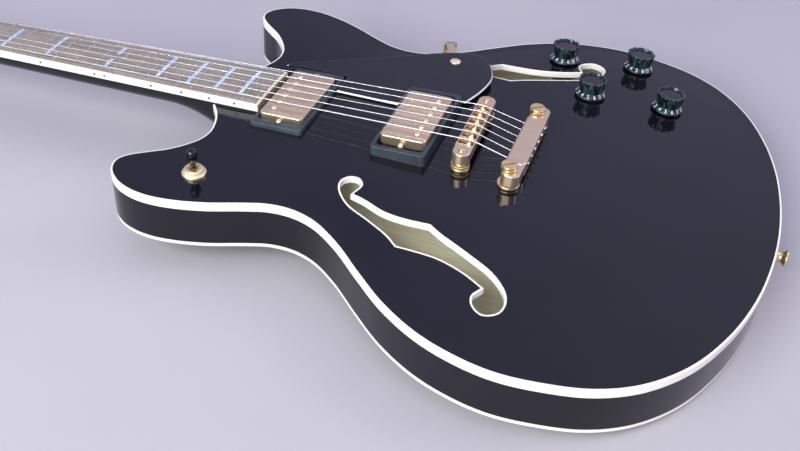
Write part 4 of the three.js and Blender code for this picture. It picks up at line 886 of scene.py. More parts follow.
def plated(name, colour, dull, metal, low, high, stretch=(1, 1, 1)):
    """The row of a plated metal: a warm mirror with cloudy tarnish and hairline wear."""
    return dict(
        name=name, constants={"Metallic": metal},
        patterns={"tarnish": {"Scale": 130, "Detail": 5},
                  "hair": {"Scale": 1600, "Detail": 3, "stretch": stretch}},
        tints=[("tarnish", (colour, dull), (colour, 1), 0.3, 0.6)],
        spreads={"Roughness": ("hair", low, high)}, reliefs={"Normal": ("hair", 0.000004)})


# The output that each texture's pattern is read from
TEXTURE_OUTPUTS = {"Noise": "Fac", "Voronoi": "Distance", "Wave": "Fac"}

# Every finish: the constants of its shader, its patterns with their texture's inputs, its
# tints (pattern, low and high colour, and where the ramp starts and ends), its spreads
# (pattern, low and high value) and its reliefs (pattern, height in metres, strength). A
# second tint is multiplied over the first by the share given as over.
FINISH_ROWS = {
    # Polished black lacquer: near black under a clear coat. Slow waves of film thickness
    # bend reflections a little, and faint polishing haze breaks up the gloss.
    "lacquer": dict(
        name="black lacquer",
        constants={"Coat Weight": 1.0, "Coat IOR": 1.45, "Roughness": 0.5,
                   "Specular IOR Level": 0.0},
        patterns={"cloud": {"Scale": 9, "Detail": 4},
                  "haze": {"Scale": 160, "Detail": 4, "Distortion": 0.6,
                           "stretch": (1, 3.2, 1)},
                  "film": {"Scale": 55, "Detail": 2}},
        tints=[("cloud", ("lacquer_colour", 0.75), ("lacquer_colour", 1.3))],
        spreads={"Coat Roughness": ("haze", 0.008, 0.035)},
        reliefs={"Coat Normal": ("film", 0.00002)}),
    # Aged cream plastic binding: ivory with darker blotches where hands have been, faint
    # scrape marks along it, and a buffed surface.
    "binding": dict(
        name="cream binding", constants={"Coat Weight": 0.6, "Coat Roughness": 0.08},
        patterns={"age": {"Scale": 26, "Detail": 5},
                  "scrape": {"Scale": 900, "Detail": 2, "stretch": (0.25, 1, 6)}},
        tints=[("age", ("binding_colour", 0.9), ("binding_colour", 1), 0.3, 0.55)],
        spreads={"Roughness": ("scrape", 0.22, 0.42)},
        reliefs={"Normal": ("scrape", 0.00001)}),
    # The board's end strip, a yellower piece of the same plastic.
    "end strip": dict(
        name="end strip", constants={"Coat Weight": 0.4, "Coat Roughness": 0.1},
        patterns={"age": {"Scale": 90, "Detail": 3}, "scuff": {"Scale": 700, "Detail": 3}},
        tints=[("age", "DDD3A0", "F0E9C2")],
        spreads={"Roughness": ("scuff", 0.25, 0.4)}),
    # Raw maple inside the body: pale tan with long grain, open pores and a dry surface.
    "maple": dict(
        name="raw maple",
        patterns={"grain": {"Scale": 28, "Detail": 6, "Distortion": 0.8,
                            "stretch": (1, 14, 5)},
                  "pores": {"Scale": 210, "Detail": 3, "stretch": (1, 22, 22)}},
        tints=[("grain", "EFE7C6", "FFFBEA", 0.3, 0.7)],
        spreads={"Roughness": ("pores", 0.55, 0.8)}, reliefs={"Normal": ("pores", 0.00008)}),
    # Rosewood board: brown with dark streaks along the neck, fine pores as short dashes,
    # and the dull polish of played wood.
    "rosewood": dict(
        name="rosewood", constants={"Coat Weight": 0.8, "Coat Roughness": 0.36},
        patterns={"streak": {"Scale": 16, "Detail": 7, "Distortion": 1.2,
                             "stretch": (1, 16, 6)},
                  "dash": {"Scale": 330, "Detail": 2, "stretch": (1, 12, 12)}},
        tints=[("streak", "7B6D5D", "AC9F8C", 0.32, 0.68),
               ("dash", "5A4A3C", "FFFFFF", 0.34, 0.42)], over=0.75,
        spreads={"Roughness": ("streak", 0.3, 0.5)}, reliefs={"Normal": ("dash", 0.00005)}),
    # Pearl inlay: cold white with drifting blue and green patches and a wet shine.
    "pearl": dict(
        name="pearl", constants={"Coat Weight": 1.0, "Coat Roughness": 0.05},
        patterns={"drift": {"Scale": 130, "Detail": 3, "Distortion": 2},
                  "flake": {"texture": "Voronoi", "Scale": 420}},
        tints=[("drift", "9CC4FA", "E9F3FF", 0.35, 0.6), ("flake", "FFFFFF", "CFE3F7")],
        over=0.6, spreads={"Roughness": ("drift", 0.12, 0.3)}),
    # Nickel-silver frets: bright metal with cross polish and slightly dull shoulders.
    "fret": dict(
        name="fret metal", constants={"Metallic": 1.0},
        patterns={"wipe": {"Scale": 1500, "Detail": 2, "stretch": (1, 0.1, 1)}},
        tints=[("wipe", "BFBFB4", "E8E6DC")], spreads={"Roughness": ("wipe", 0.12, 0.3)}),
    # Plain string: bright drawn steel with faint draw lines along it.
    "plain string": dict(
        name="plain string", constants={"Metallic": 1.0},
        patterns={"line": {"Scale": 4000, "Detail": 2, "stretch": (0.05, 1, 1)}},
        tints=[("line", "D6D6D6", "FAFAF6")], spreads={"Roughness": ("line", 0.15, 0.32)}),
    # Wound string: turns of round wire, with grooves between them darkened by painted shade.
    # The turns are drawn 0.65 mm apart, about twice as coarse as real ones, so that they show.
    "wound string": dict(
        name="wound string", constants={"Metallic": 1.0},
        patterns={"turns": {"texture": "Wave", "Scale": 480, "Distortion": 0.3},
                  "wear": {"Scale": 800, "Detail": 3}},
        # The ramp's dark stop is painted shade in the grooves between the turns
        tints=[("turns", "9A9892", "F0EFEA", 0.1, 0.6)],
        spreads={"Roughness": ("wear", 0.25, 0.4)}, reliefs={"Normal": ("turns", 0.00008, 0.6)}),
    # Gold plate on small parts is the brightest. Covers and bars are rosier, with a fine
    # brushed line across the strings. Pole screws, guard screw and switch nut are worn to
    # a paler, duller sheen.
    "gold": plated("gold plate", "gold_colour", 0.9, 0.88, 0.14, 0.32),
    "cover gold": plated("cover gold", "cover_colour", 0.95, 0.86, 0.2, 0.34, (8, 0.4, 1)),
    "pale gold": plated("pale gold", "F3E6C6", 0.92, 0.7, 0.3, 0.42),
    # Satin black plastic of the pickup rings: moulded, faintly grained, dusty in places.
    "ring plastic": dict(
        name="ring plastic", constants={"Specular IOR Level": 0.5},
        patterns={"dust": {"Scale": 60, "Detail": 6}, "mould": {"Scale": 1400, "Detail": 2}},
        tints=[("dust", "262E33", "3C484E", 0.35, 0.75)],
        spreads={"Roughness": ("dust", 0.34, 0.5)}, reliefs={"Normal": ("mould", 0.000015)}),
    # Glossy black plastic of pickguard, knob tops and lever tip, with light swirl marks.
    "black plastic": dict(
        name="gloss black plastic",
        constants={"Coat Weight": 1.0, "Coat IOR": 1.45, "Coat Roughness": 0.04,
                   "Specular IOR Level": 0.05},
        patterns={"swirl": {"Scale": 90, "Detail": 6, "Distortion": 2.5}},
        tints=[("swirl", "08090A", "131518", 0.35, 0.7)],
        spreads={"Roughness": ("swirl", 0.08, 0.2)}),
    # Knobs: deep green-black see-through plastic with a wet shine. Upright lighter streaks are
    # painted into its colour: painted highlights for the light caught in its flutes.
    "knob plastic": dict(
        name="knob plastic",
        constants={"Coat Weight": 1.0, "Coat IOR": 1.45, "Coat Roughness": 0.03,
                   "Specular IOR Level": 0.15},
        patterns={"streak": {"Scale": 420, "Detail": 3, "Distortion": 1,
                             "stretch": (1, 1, 0.12)}},
        # The ramp's lighter stop gives the painted highlight streaks
        tints=[("streak", "0A1214", "2E494F", 0.45, 0.7)],
        spreads={"Roughness": ("streak", 0.12, 0.26)}),
    # White paint and white ply edges: chalky, not quite even.
    "white": dict(
        name="white marking",
        patterns={"speck": {"Scale": 1500, "Detail": 3}, "scuff": {"Scale": 500, "Detail": 3}},
        tints=[("speck", "D9DAD6", "F6F6F2")], spreads={"Roughness": ("scuff", 0.35, 0.5)}),
    # Bone nut: ivory with brown flecks of marrow and a soft polish.
    "bone": dict(
        name="bone",
        constants={"Coat Weight": 0.3, "Coat Roughness": 0.2, "Subsurface Weight": 0.1,
                   "Subsurface Scale": 0.001},
        patterns={"fleck": {"Scale": 700, "Detail": 4, "stretch": (1, 4, 1)}},
        tints=[("fleck", "BCA77C", "ECE4CC", 0.28, 0.42)],
        spreads={"Roughness": ("fleck", 0.3, 0.45)}),
    # Potentiometer cans: spun steel, faintly clouded.
    "pot steel": dict(
        name="pot steel", constants={"Metallic": 1.0},
        patterns={"spun": {"Scale": 900, "Detail": 4}},
        tints=[("spun", "7E7C76", "ABA9A2")], spreads={"Roughness": ("spun", 0.3, 0.5)}),
    # Coil bobbins under the covers: matt black plastic with a waxed surface.
    "coil black": dict(
        name="coil black", patterns={"wax": {"Scale": 300, "Detail": 4}},
        tints=[("wax", "12100D", "2A2620")], spreads={"Roughness": ("wax", 0.45, 0.7)}),
    # Painted studio floor: pale, matt and barely clouded.
    "floor": dict(
        name="pale floor", constants={"Roughness": 0.75, "Specular IOR Level": 0.2},
        patterns={"cloud": {"Scale": 3, "Detail": 4}},
        tints=[("cloud", "B0ACAF", "B6B2B4")]),
}


def make_finish(looks, name, patterns, tints, constants=(), spreads=(), reliefs=(), over=0.0):
    """One material from its row. Values that are the same all over are set on the shader."""
    material = bpy.data.materials.new(name)
    material.use_nodes = True
    tree = material.node_tree
    tree.nodes.clear()
    place = add(tree, "ShaderNodeTexCoord").outputs["Object"]
    drawn = {}
    for key, row in patterns.items():
        inputs = {"Vector": place, **row}
        texture, stretch = inputs.pop("texture", "Noise"), inputs.pop("stretch", None)
        if stretch:
            inputs["Vector"] = add(tree, "ShaderNodeMapping",
                                   {"Vector": place, "Scale": stretch}).outputs[0]
        node = add(tree, f"ShaderNodeTex{texture}", inputs)
        drawn[key] = node.outputs[TEXTURE_OUTPUTS[texture]]
    layers = []
    for pattern, low, high, *span in tints:
        start, end = span or (0.35, 0.65)
        stops = (start, tone(looks, low)), (end, tone(looks, high))
        layers.append(add(tree, "ShaderNodeValToRGB", {0: drawn[pattern]}, stops).outputs[0])
    colour = layers[0]
    if over:
        colour = add(tree, "ShaderNodeMix", {0: over, 6: layers[0], 7: layers[1]},
                     data_type="RGBA", blend_type="MULTIPLY").outputs[2]
    driven = {"Base Color": colour}
    for socket, (pattern, low, high) in dict(spreads).items():
        driven[socket] = add(tree, "ShaderNodeMapRange", {
            "Value": drawn[pattern], "To Min": low, "To Max": high}).outputs[0]
    for socket, (pattern, height, *strength) in dict(reliefs).items():
        driven[socket] = add(tree, "ShaderNodeBump", {
            "Height": drawn[pattern], "Distance": height,
            "Strength": strength[0] if strength else 1.0}).outputs[0]
    shader = add(tree, "ShaderNodeBsdfPrincipled", {**dict(constants), **driven})
    add(tree, "ShaderNodeOutputMaterial", {0: shader.outputs[0]})
    return material


FINISHES = {}


# ---------------------------------------------------------------- pieces

def build_shell():
    """Top and back plates, sides and the two lines of binding."""
    holes = [f_hole_loop(side) for side in SIDES.values()]
    cavities = [pickup_hole(at) for at, *_ in PICKUPS.values()]
    edge = inset(OUTLINE, BINDING)
    shape, numbers = arched_plate(edge, holes + cavities, top_surface(),
                                  top_surface(-TOP_THICKNESS))
    top = piece("arched_top", [shape], ("lacquer", "maple"), replaces=["top_plate"],
                sharp=50, weighted=False)
    number_faces(top, numbers)
    shape, numbers = arched_plate(edge, [], back_surface(), back_surface(BACK_THICKNESS))
    back = piece("arched_back", [shape], ("lacquer", "maple"), replaces=["back_plate"],
                 sharp=50, weighted=False)
    number_faces(back, numbers)

    def wrapped(name, section, finish, node):
        rings = [at_height(inset(OUTLINE, d) if d else OUTLINE, z) for d, z in section]
        return piece(name, [stack(rings, closed=True)], finish, replaces=[node])

    back_seam = -SIDE_DEPTH + BACK_BINDING_HEIGHT
    ledge = SEAT / 3
    top_edge, back_edge = -TOP_BINDING_HEIGHT - ledge, back_seam + ledge
    side = wrapped("bent_sides", [
        (0, back_edge), (0, top_edge), (BINDING, top_edge), (SIDE_THICKNESS, top_edge),
        (SIDE_THICKNESS, back_edge), (BINDING, back_edge)], ("lacquer", "maple"), "rim")
    count = len(OUTLINE)
    number_faces(side, [0] * count + [1] * count * 5)
    arc = [(BINDING_EDGE * (1 - math.cos(a)), BINDING_EDGE * (1 - math.sin(a)))
           for a in [math.pi / 2 * k / 4 for k in range(5)]]
    inner = BINDING - BINDING_PLAY
    wrapped("upper_binding", [(0, -TOP_BINDING_HEIGHT)] + [(d, -z) for d, z in arc]
            + [(inner, 0), (inner, -TOP_BINDING_HEIGHT)], "binding", "top_binding")
    wrapped("lower_binding", [(0, back_seam)] + [(d, -SIDE_DEPTH + z) for d, z in arc]
            + [(inner, -SIDE_DEPTH), (inner, back_seam)], "binding", "back_binding")


def number_faces(obj, numbers):
    """Sets which material each face shows, where no face was merged away."""
    if len(numbers) == len(obj.data.polygons):
        obj.data.polygons.foreach_set("material_index", numbers)
        obj.data.update()


def build_f_holes():
    """A bound wall round each f-hole."""
    for name, side in SIDES.items():
        loop = f_hole_loop(side)
        rings = [at_height(inset(loop, d), top_surface(lift)) for d, lift in F_HOLE_WALL]
        piece(f"f_hole_wall_{name}", [stack(rings, closed=True)], "binding",
              replaces=[f"f_hole_binding_{name}"])


def post_place(side, number):
    """The frame of a tuner post, counted from the nut."""
    return IN_HEAD @ shift(-POST_FIRST - POST_PITCH * number, side * POST_OUT, 0)


def neck_section(x, depth, steps=40):
    """The neck's rounded section at a distance from the nut."""
    half = board_half(x)
    loop = []
    for k in range(steps + 1):
        angle = math.pi * k / steps
        c, s = math.cos(angle), math.sin(angle)
        across = math.copysign(abs(c) ** NECK_ROUNDNESS, c)
        loop.append(Vector((x, half * across,
                            -BOARD_THICKNESS - SEAT - depth * s ** NECK_ROUNDNESS)))
    return loop


def build_neck():
    """Shaft with its heel, tongue under the board, and headstock."""
    heel_start = BODY_FRONT - HEEL_LENGTH
    rings = []
    for k in range(25):
        share = k / 24
        x = -HEAD_START + (heel_start + HEAD_START) * share
        rings.append(neck_section(x, NECK_DEPTH_NUT + (NECK_DEPTH_HEEL - NECK_DEPTH_NUT) * share))
    for k in range(1, 19):
        share = k / 18
        swell = NECK_DEPTH_HEEL + (HEEL_DEPTH - NECK_DEPTH_HEEL) * share ** 2
        rings.append(neck_section(heel_start + (HEEL_LENGTH + SEAT) * share, swell))
    top = -BOARD_THICKNESS - SEAT
    half = board_half(BODY_FRONT)
    tongue = block(BODY_FRONT - 2, BOARD_LENGTH - 1, -half, half, top - TONGUE_DEPTH, top,
                   1.0, 0.4)
    half_head = [Vector((-HEAD_LENGTH * a, HEAD_WIDTH / 2 * b)) for a, b in HEAD_SHARES]
    loop = smooth(half_head + [Vector((p.x, -p.y)) for p in reversed(half_head[:-1])], 6)
    head = moved(slab(loop, -HEAD_THICKNESS, 0, 1.4), IN_NECK.inverted() @ IN_HEAD)
    holes = [moved(rod(POST_HOLE, -HEAD_THICKNESS * 2, HEAD_THICKNESS),
                   IN_NECK.inverted() @ post_place(side, i))
             for side in SIDES.values() for i in range(POSTS_PER_SIDE)]
    piece("neck_shaft", [stack(rings), tongue], "lacquer", place=IN_NECK, replaces=["neck"])
    piece("headstock", [head], "lacquer", place=IN_NECK, cuts=holes)


def build_board(looks):
    """Rosewood board with bound edges, frets, inlays and side dots."""
    end = BOARD_LENGTH - BOARD_EDGE

    def across(x, inner, outer, low, steps=20):
        half = board_half(x)
        ys = [inner + (outer - inner) * k / steps for k in range(steps + 1)]
        upper = [Vector((x, y * half, crown(y * half, half))) for y in ys]
        return upper + [Vector((x, ys[-1] * half, low)), Vector((x, ys[0] * half, low))]

    def share(x):
        return 1 - BOARD_EDGE / board_half(x)

    stations = [end * k / 16 for k in range(17)]
    wood = stack([across(x, -share(x), share(x), -BOARD_THICKNESS) for x in stations])
    piece("board_wood", [wood], "rosewood", place=IN_NECK, replaces=["fretboard"],
          weighted=False)

    strips = []
    for side in SIDES.values():
        rings = []
        for x in stations + [BOARD_LENGTH]:
            half = board_half(x)
            inner = half - BOARD_EDGE
            top = crown(inner, half)
            section = ((inner, -BOARD_THICKNESS), (half, -BOARD_THICKNESS), (half, -0.5),
                       (half - 0.15, -0.12), (half - 0.5, 0.02), (inner, top))
            rings.append([Vector((x, side * y, z)) for y, z in section])
        strips.append(stack(rings))
    piece("board_binding", strips, "binding", place=IN_NECK)
    half = board_half(BOARD_LENGTH) - BOARD_EDGE
    upper, lower = [], []
    for k in range(21):
        y = -half + 2 * half * k / 20
        z = crown(y, half + BOARD_EDGE)
        upper.append([Vector(p) for p in (
            (end, y, z - END_STRIP_DEPTH), (BOARD_LENGTH, y, z - END_STRIP_DEPTH),
            (BOARD_LENGTH, y, z - 0.5), (BOARD_LENGTH - 0.5, y, z), (end, y, z))])
        lower.append([Vector(p) for p in (
            (end, y, -BOARD_THICKNESS), (BOARD_LENGTH, y, -BOARD_THICKNESS),
            (BOARD_LENGTH, y, z - END_STRIP_DEPTH), (end, y, z - END_STRIP_DEPTH))])
    piece("board_end_strip", [stack(upper)], "end strip", place=IN_NECK)
    piece("board_end_wood", [stack(lower)], "rosewood", place=IN_NECK)

    frets = []
    for number in range(1, looks.fret_count + 1):
        x = fret_at(number)
        reach = board_half(x) - FRET_INSET
        rings = []
        for k in range(25):
            y = -reach + 2 * reach * k / 24
            base = crown(y, board_half(x))
            fall = min(1.0, 0.35 + (reach - abs(y)) / 1.2)
            ring = []
            for j in range(9):
                angle = math.pi * j / 8
                ring.append(Vector((x + FRET_WIDTH / 2 * math.cos(angle), y,
                                    base + FRET_HEIGHT * fall * math.sin(angle) ** 0.8)))
            ring.append(Vector((x - FRET_WIDTH / 2, y, base - 0.4)))
            ring.append(Vector((x + FRET_WIDTH / 2, y, base - 0.4)))
            rings.append(ring)
        frets.append(stack(rings))
    piece("frets", frets, "fret", place=IN_NECK)

    def bar(x, y0, y1):
        rings = []
        for k in range(9):
            y = y0 + (y1 - y0) * k / 8
            z = crown(y, board_half(x)) + 0.03
            rings.append([Vector((x + side * INLAY_WIDTH / 2, y, z - depth))
                          for side, depth in ((-1, 1), (1, 1), (1, 0), (-1, 0))])
        return stack(rings)

    inlays, dots = [], []
    for space in sorted(INLAY_SPACES + (OCTAVE_SPACE,)):
        x = (fret_at(space - 1) + fret_at(space)) / 2
        pitch = (SPREAD_AT_NUT + (SPREAD_AT_BRIDGE - SPREAD_AT_NUT) * x / SCALE_LENGTH) / 5
        if space == OCTAVE_SPACE:
            inlays += [bar(x, side * pitch * 0.5, side * pitch * 2) for side in SIDES.values()]
            places = (x - OCTAVE_DOTS, x + OCTAVE_DOTS)
        else:
            inlays.append(bar(x, -2 * pitch, 2 * pitch))
            places = (x,)
        for spot in places:
            dots.append(moved(rod(SIDE_DOT, -0.5, 0.06, 16),
                              shift(spot, -board_half(spot), -BOARD_THICKNESS * 0.45)
                              @ turn(90, "X")))
    piece("inlays", inlays, "pearl", place=IN_NECK)
    piece("side_dots", dots, "black plastic", place=IN_NECK)

    nut = block(-NUT_THICKNESS, -0.05, -BOARD_NUT_WIDTH / 2, BOARD_NUT_WIDTH / 2,
                -BOARD_THICKNESS, NUT_TOP + 0.6, 0.6, 0.5)
    slots = []
    for i in range(STRING_COUNT):
        y = string_out(i, SPREAD_AT_NUT)
        wide = seen_radius(i) + 0.15
        slots.append(block(-NUT_THICKNESS - 1, 1, y - wide, y + wide, NUT_TOP, NUT_TOP + 3))
    piece("nut_bone", [nut], "bone", place=IN_NECK, replaces=["nut"], cuts=slots)


def string_line(index, side, post):
    """The points that a string runs through, from its tuner post to the tailpiece."""
    radius = HEAVIEST_STRING * STRING_GAUGES[index]
    at_nut, at_bridge = string_out(index, SPREAD_AT_NUT), string_out(index, SPREAD_AT_BRIDGE)
    inner = side * (POST_OUT - POST_RADIUS - radius - SEAT)
    crest = crest_height(index) + SEAT + radius
    saddle = AT_BRIDGE @ Vector((sum(crest_at(index)), at_bridge, 0))
    front = TAIL_AT + TAIL_OFFSET - TAIL_WIDTH / 2 - SEAT
    lift = NUT_TOP + SEAT + radius
    return [
        IN_HEAD @ Vector((-POST_FIRST - POST_PITCH * post - POST_RADIUS, inner, POST_WAIST)),
        IN_NECK @ Vector((-NUT_THICKNESS - SEAT, at_nut, lift)),
        IN_NECK @ Vector((0, at_nut, lift)),
        Vector((saddle.x - SADDLE_TRAVEL - SADDLE_CREST, saddle.y, crest)),
        Vector((saddle.x + SADDLE_TRAVEL + SADDLE_CREST, saddle.y, crest)),
        Vector((front, at_bridge, TAIL_STRING_AT)),
        Vector((front + TAIL_WIDTH, at_bridge, TAIL_STRING_AT)),
    ]


def build_strings():
    """Six strings with rounded bends, ball ends and turns round their posts."""
    for index in range(STRING_COUNT):
        number = STRING_COUNT - index
        bass = index < STRING_COUNT / 2
        side = SIDES["bass" if bass else "treble"]
        post = index if bass else STRING_COUNT - 1 - index
        corners = string_line(index, side, post)
        radius = seen_radius(index)
        finish = "wound string" if index < WOUND_STRINGS else "plain string"
        ball = moved(lathe(filleted([(0, 0), (1.5, 0), (1.5, 2.4), (0, 2.4)], 0.6), 24),
                     shift(*(corners[-1] - Vector((1.2, 0, 0)))) @ turn(90, "Y"))
        piece(f"string_run_{number}", [tube(filleted(corners, 2.2, 4), radius, 12), ball], finish,
              replaces=[f"string_{number}"], sharp=60)
        coil, out = [], POST_RADIUS + radius
        for k in range(POST_TURNS * 24 + 1):
            angle = side * 2 * math.pi * k / 24
            coil.append(Vector((out * math.cos(angle), out * math.sin(angle),
                                POST_WAIST - 2.1 * radius * k / 24)))
        piece(f"string_winding_{number}", [tube(coil, radius, 10)], finish,
              body=f"tuner_post_{number}", place=post_place(side, post), sharp=60)


def slot_cut(width, length, depth, top):
    """The block that cuts a screwdriver's slot."""
    return block(-length, length, -width / 2, width / 2, top - depth, top + 2)


def build_bridge():
    """Bridge bar with open slots, six saddles with their screws, and two posts."""
    length = BRIDGE_POST_SPREAD + 2 * BRIDGE_END
    bar = slab(rectangle(2 * BRIDGE_END, length, BRIDGE_END - 0.01, 14), BRIDGE_BOTTOM,
               BRIDGE_TOP, 1.0, 4)
    floor = BRIDGE_TOP - SADDLE_SLOT_DEPTH
    cuts = [moved(rod(BRIDGE_POST + 0.35, BRIDGE_BOTTOM - 3, BRIDGE_TOP + 3),
                  shift(0, side * BRIDGE_POST_SPREAD / 2, 0)) for side in SIDES.values()]
    for index in range(STRING_COUNT):
        y = string_out(index, SPREAD_AT_BRIDGE)
        half = SADDLE_WIDTH / 2 + SEAT
        cuts.append(block(-SADDLE_SLOT / 2, SADDLE_SLOT / 2, y - half, y + half, floor,
                          BRIDGE_TOP + 3))
    piece("bridge_bar", [bar], "cover gold", place=AT_BRIDGE, replaces=["bridge"], cuts=cuts)
    screws = []
    for index in range(STRING_COUNT):
        y = string_out(index, SPREAD_AT_BRIDGE)
        at, setback = crest_at(index)
        crest, radius = crest_height(index), HEAVIEST_STRING * STRING_GAUGES[index]
        profile = [(-SADDLE_LENGTH / 2, floor + SEAT), (SADDLE_LENGTH / 2, floor + SEAT),
                   (SADDLE_LENGTH / 2, BRIDGE_TOP - 0.6), (setback + SADDLE_CREST, crest),
                   (setback - SADDLE_CREST, crest), (-SADDLE_LENGTH / 2, BRIDGE_TOP - 0.6)]
        rings = [[Vector((x, side * SADDLE_WIDTH / 2, z)) for x, z in profile]
                 for side in (-1, 1)]
        notch = moved(rod(radius + 0.25, -6, 6, 16),
                      shift(setback, 0, crest + SEAT + radius) @ turn(90, "Y"))
        node = f"saddle_{STRING_COUNT - index}"
        saddle = piece(f"saddle_block_{STRING_COUNT - index}", [stack(rings)], "cover gold",
                       body=node, place=AT_BRIDGE @ shift(at, y, 0), cuts=[notch],
                       replaces=[node], weighted=False)
        soft = saddle.modifiers.new("edge", "BEVEL")
        soft.width, soft.segments, soft.limit_method = 0.00025, 2, "ANGLE"
        middle = (floor + BRIDGE_TOP) / 2 - 0.6
        screws += [moved(rod(1.0, -SADDLE_SLOT / 2 - 1, SADDLE_SLOT / 2 + 1, 16),
                         shift(0, y, middle) @ turn(90, "Y")),
                   moved(lathe(filleted([(0, 0), (1.9, 0), (1.9, 1.0), (0, 1.0)], 0.4), 24),
                         shift(-BRIDGE_END - 0.9, y, middle) @ turn(90, "Y"))]
    piece("saddle_screws", screws, "cover gold", place=AT_BRIDGE)
    wheel_top = POST_TOP + WHEEL_THICKNESS
    rim = WHEEL_RADIUS - WHEEL_GROOVE
    profile = filleted([
        (0, -10), (BRIDGE_POST, -10), (BRIDGE_POST, POST_TOP - 0.2),
        (WHEEL_RADIUS, POST_TOP - 0.2), (WHEEL_RADIUS, POST_TOP + 1.5), (rim, POST_TOP + 1.7),
        (rim, POST_TOP + 2.1), (WHEEL_RADIUS, POST_TOP + 2.3), (WHEEL_RADIUS, wheel_top),
        (COLLAR_RADIUS, wheel_top), (COLLAR_RADIUS, BRIDGE_BOTTOM - SEAT),
        (BRIDGE_POST, BRIDGE_BOTTOM - SEAT), (BRIDGE_POST, BRIDGE_TOP + POST_PROUD),
        (0, BRIDGE_TOP + POST_PROUD)], 0.35)

    def knurl(radius, height, angle):
        milled = radius > WHEEL_RADIUS - 0.3 and height > POST_TOP + 2
        return radius + (0.12 * math.cos(36 * angle) if milled else 0)

    for name, post in zip(SIDES, POSTS):
        piece(f"bridge_wheel_{name}", [lathe(profile, 144, knurl)], "gold",
              place=shift(post.x, post.y, 0), replaces=[f"bridge_post_{name}"],
              cuts=[slot_cut(0.9, 4, 0.9, BRIDGE_TOP + POST_PROUD)])


def build_tailpiece():
    """Stop tailpiece bar with its ears, and slotted studs in flanged bushings."""
    place = shift(TAIL_AT, 0, 0)
    bar_loop = [p + Vector((TAIL_OFFSET, 0)) for p in rectangle(TAIL_WIDTH, TAIL_LENGTH, 4.5, 8)]
    ear_loop = [p + Vector((TAIL_OFFSET, 0)) for p in rectangle(
        EAR_WIDTH, TAIL_STUD_SPREAD + 2 * EAR_REACH, EAR_WIDTH / 2.4, 10)]
    cuts = []
    mouth = STUD_RADIUS + 0.25
    for side in SIDES.values():
        y = side * TAIL_STUD_SPREAD / 2
        cuts += [moved(rod(mouth, EAR_BOTTOM - 4, EAR_TOP + 4), shift(0, y, 0)),
                 block(-TAIL_WIDTH, 0, y - mouth, y + mouth, EAR_BOTTOM - 4, EAR_TOP + 4),
                 moved(rod(STUD_HEAD_RADIUS + 0.3, EAR_TOP + 0.05, EAR_TOP + 9),
                       shift(0, y, 0))]
    for index in range(STRING_COUNT):
        y = string_out(index, SPREAD_AT_BRIDGE)
        cuts.append(moved(rod(TAIL_STRING_HOLE, -30, 30, 24),
                          shift(0, y, TAIL_STRING_AT) @ turn(90, "Y")))
    bar = slab(bar_loop, TAIL_BOTTOM, TAIL_TOP, 1.7, 5)
    ears = slab(ear_loop, EAR_BOTTOM, EAR_TOP, 1.0, 4)
    piece("tail_bar", [bar], "cover gold", "cast_gold", place=place, replaces=["tailpiece"],
          cuts=cuts)
    piece("tail_ears", [ears], "cover gold", "cast_gold", place=place, cuts=cuts)
    low = EAR_BOTTOM - SEAT
    head = EAR_TOP + SEAT
    head_top = head + STUD_HEAD_HEIGHT
    turned = filleted([
        (0, -8), (BUSHING_RADIUS, -8), (BUSHING_RADIUS, low), (STUD_RADIUS, low),
        (STUD_RADIUS, head), (STUD_HEAD_RADIUS, head), (STUD_HEAD_RADIUS, head_top),
        (0, head_top)], 0.6)
    hollow, seat, rim = BUSHING_RADIUS - 1, STUD_TOP - 0.2, STUD_TOP + FLANGE_HEIGHT
    flange = filleted([(hollow, seat), (FLANGE_RADIUS, seat), (FLANGE_RADIUS, rim),
                       (hollow, rim)], 0.6)
    for name, stud in zip(SIDES, STUDS):
        piece(f"tail_stud_{name}", [lathe(turned, 96)], "gold",
              place=shift(stud.x, stud.y, 0) @ turn(STUD_TURN, "Z"),
              replaces=[f"tailpiece_stud_{name}"], cuts=[slot_cut(1.7, 9, 1.9, head_top)])
        piece(f"tail_flange_{name}", [lathe(flange, 96)], "gold",
              place=shift(stud.x + FLANGE_OFFSET, stud.y, 0))


def screw_head(radius, height):
    """A domed screw head whose top stands at Z = height."""
    return lathe(filleted([(0, -1), (radius, -1), (radius, height * 0.4),
                           (radius * 0.6, height), (0, height)], radius / 3), 32)


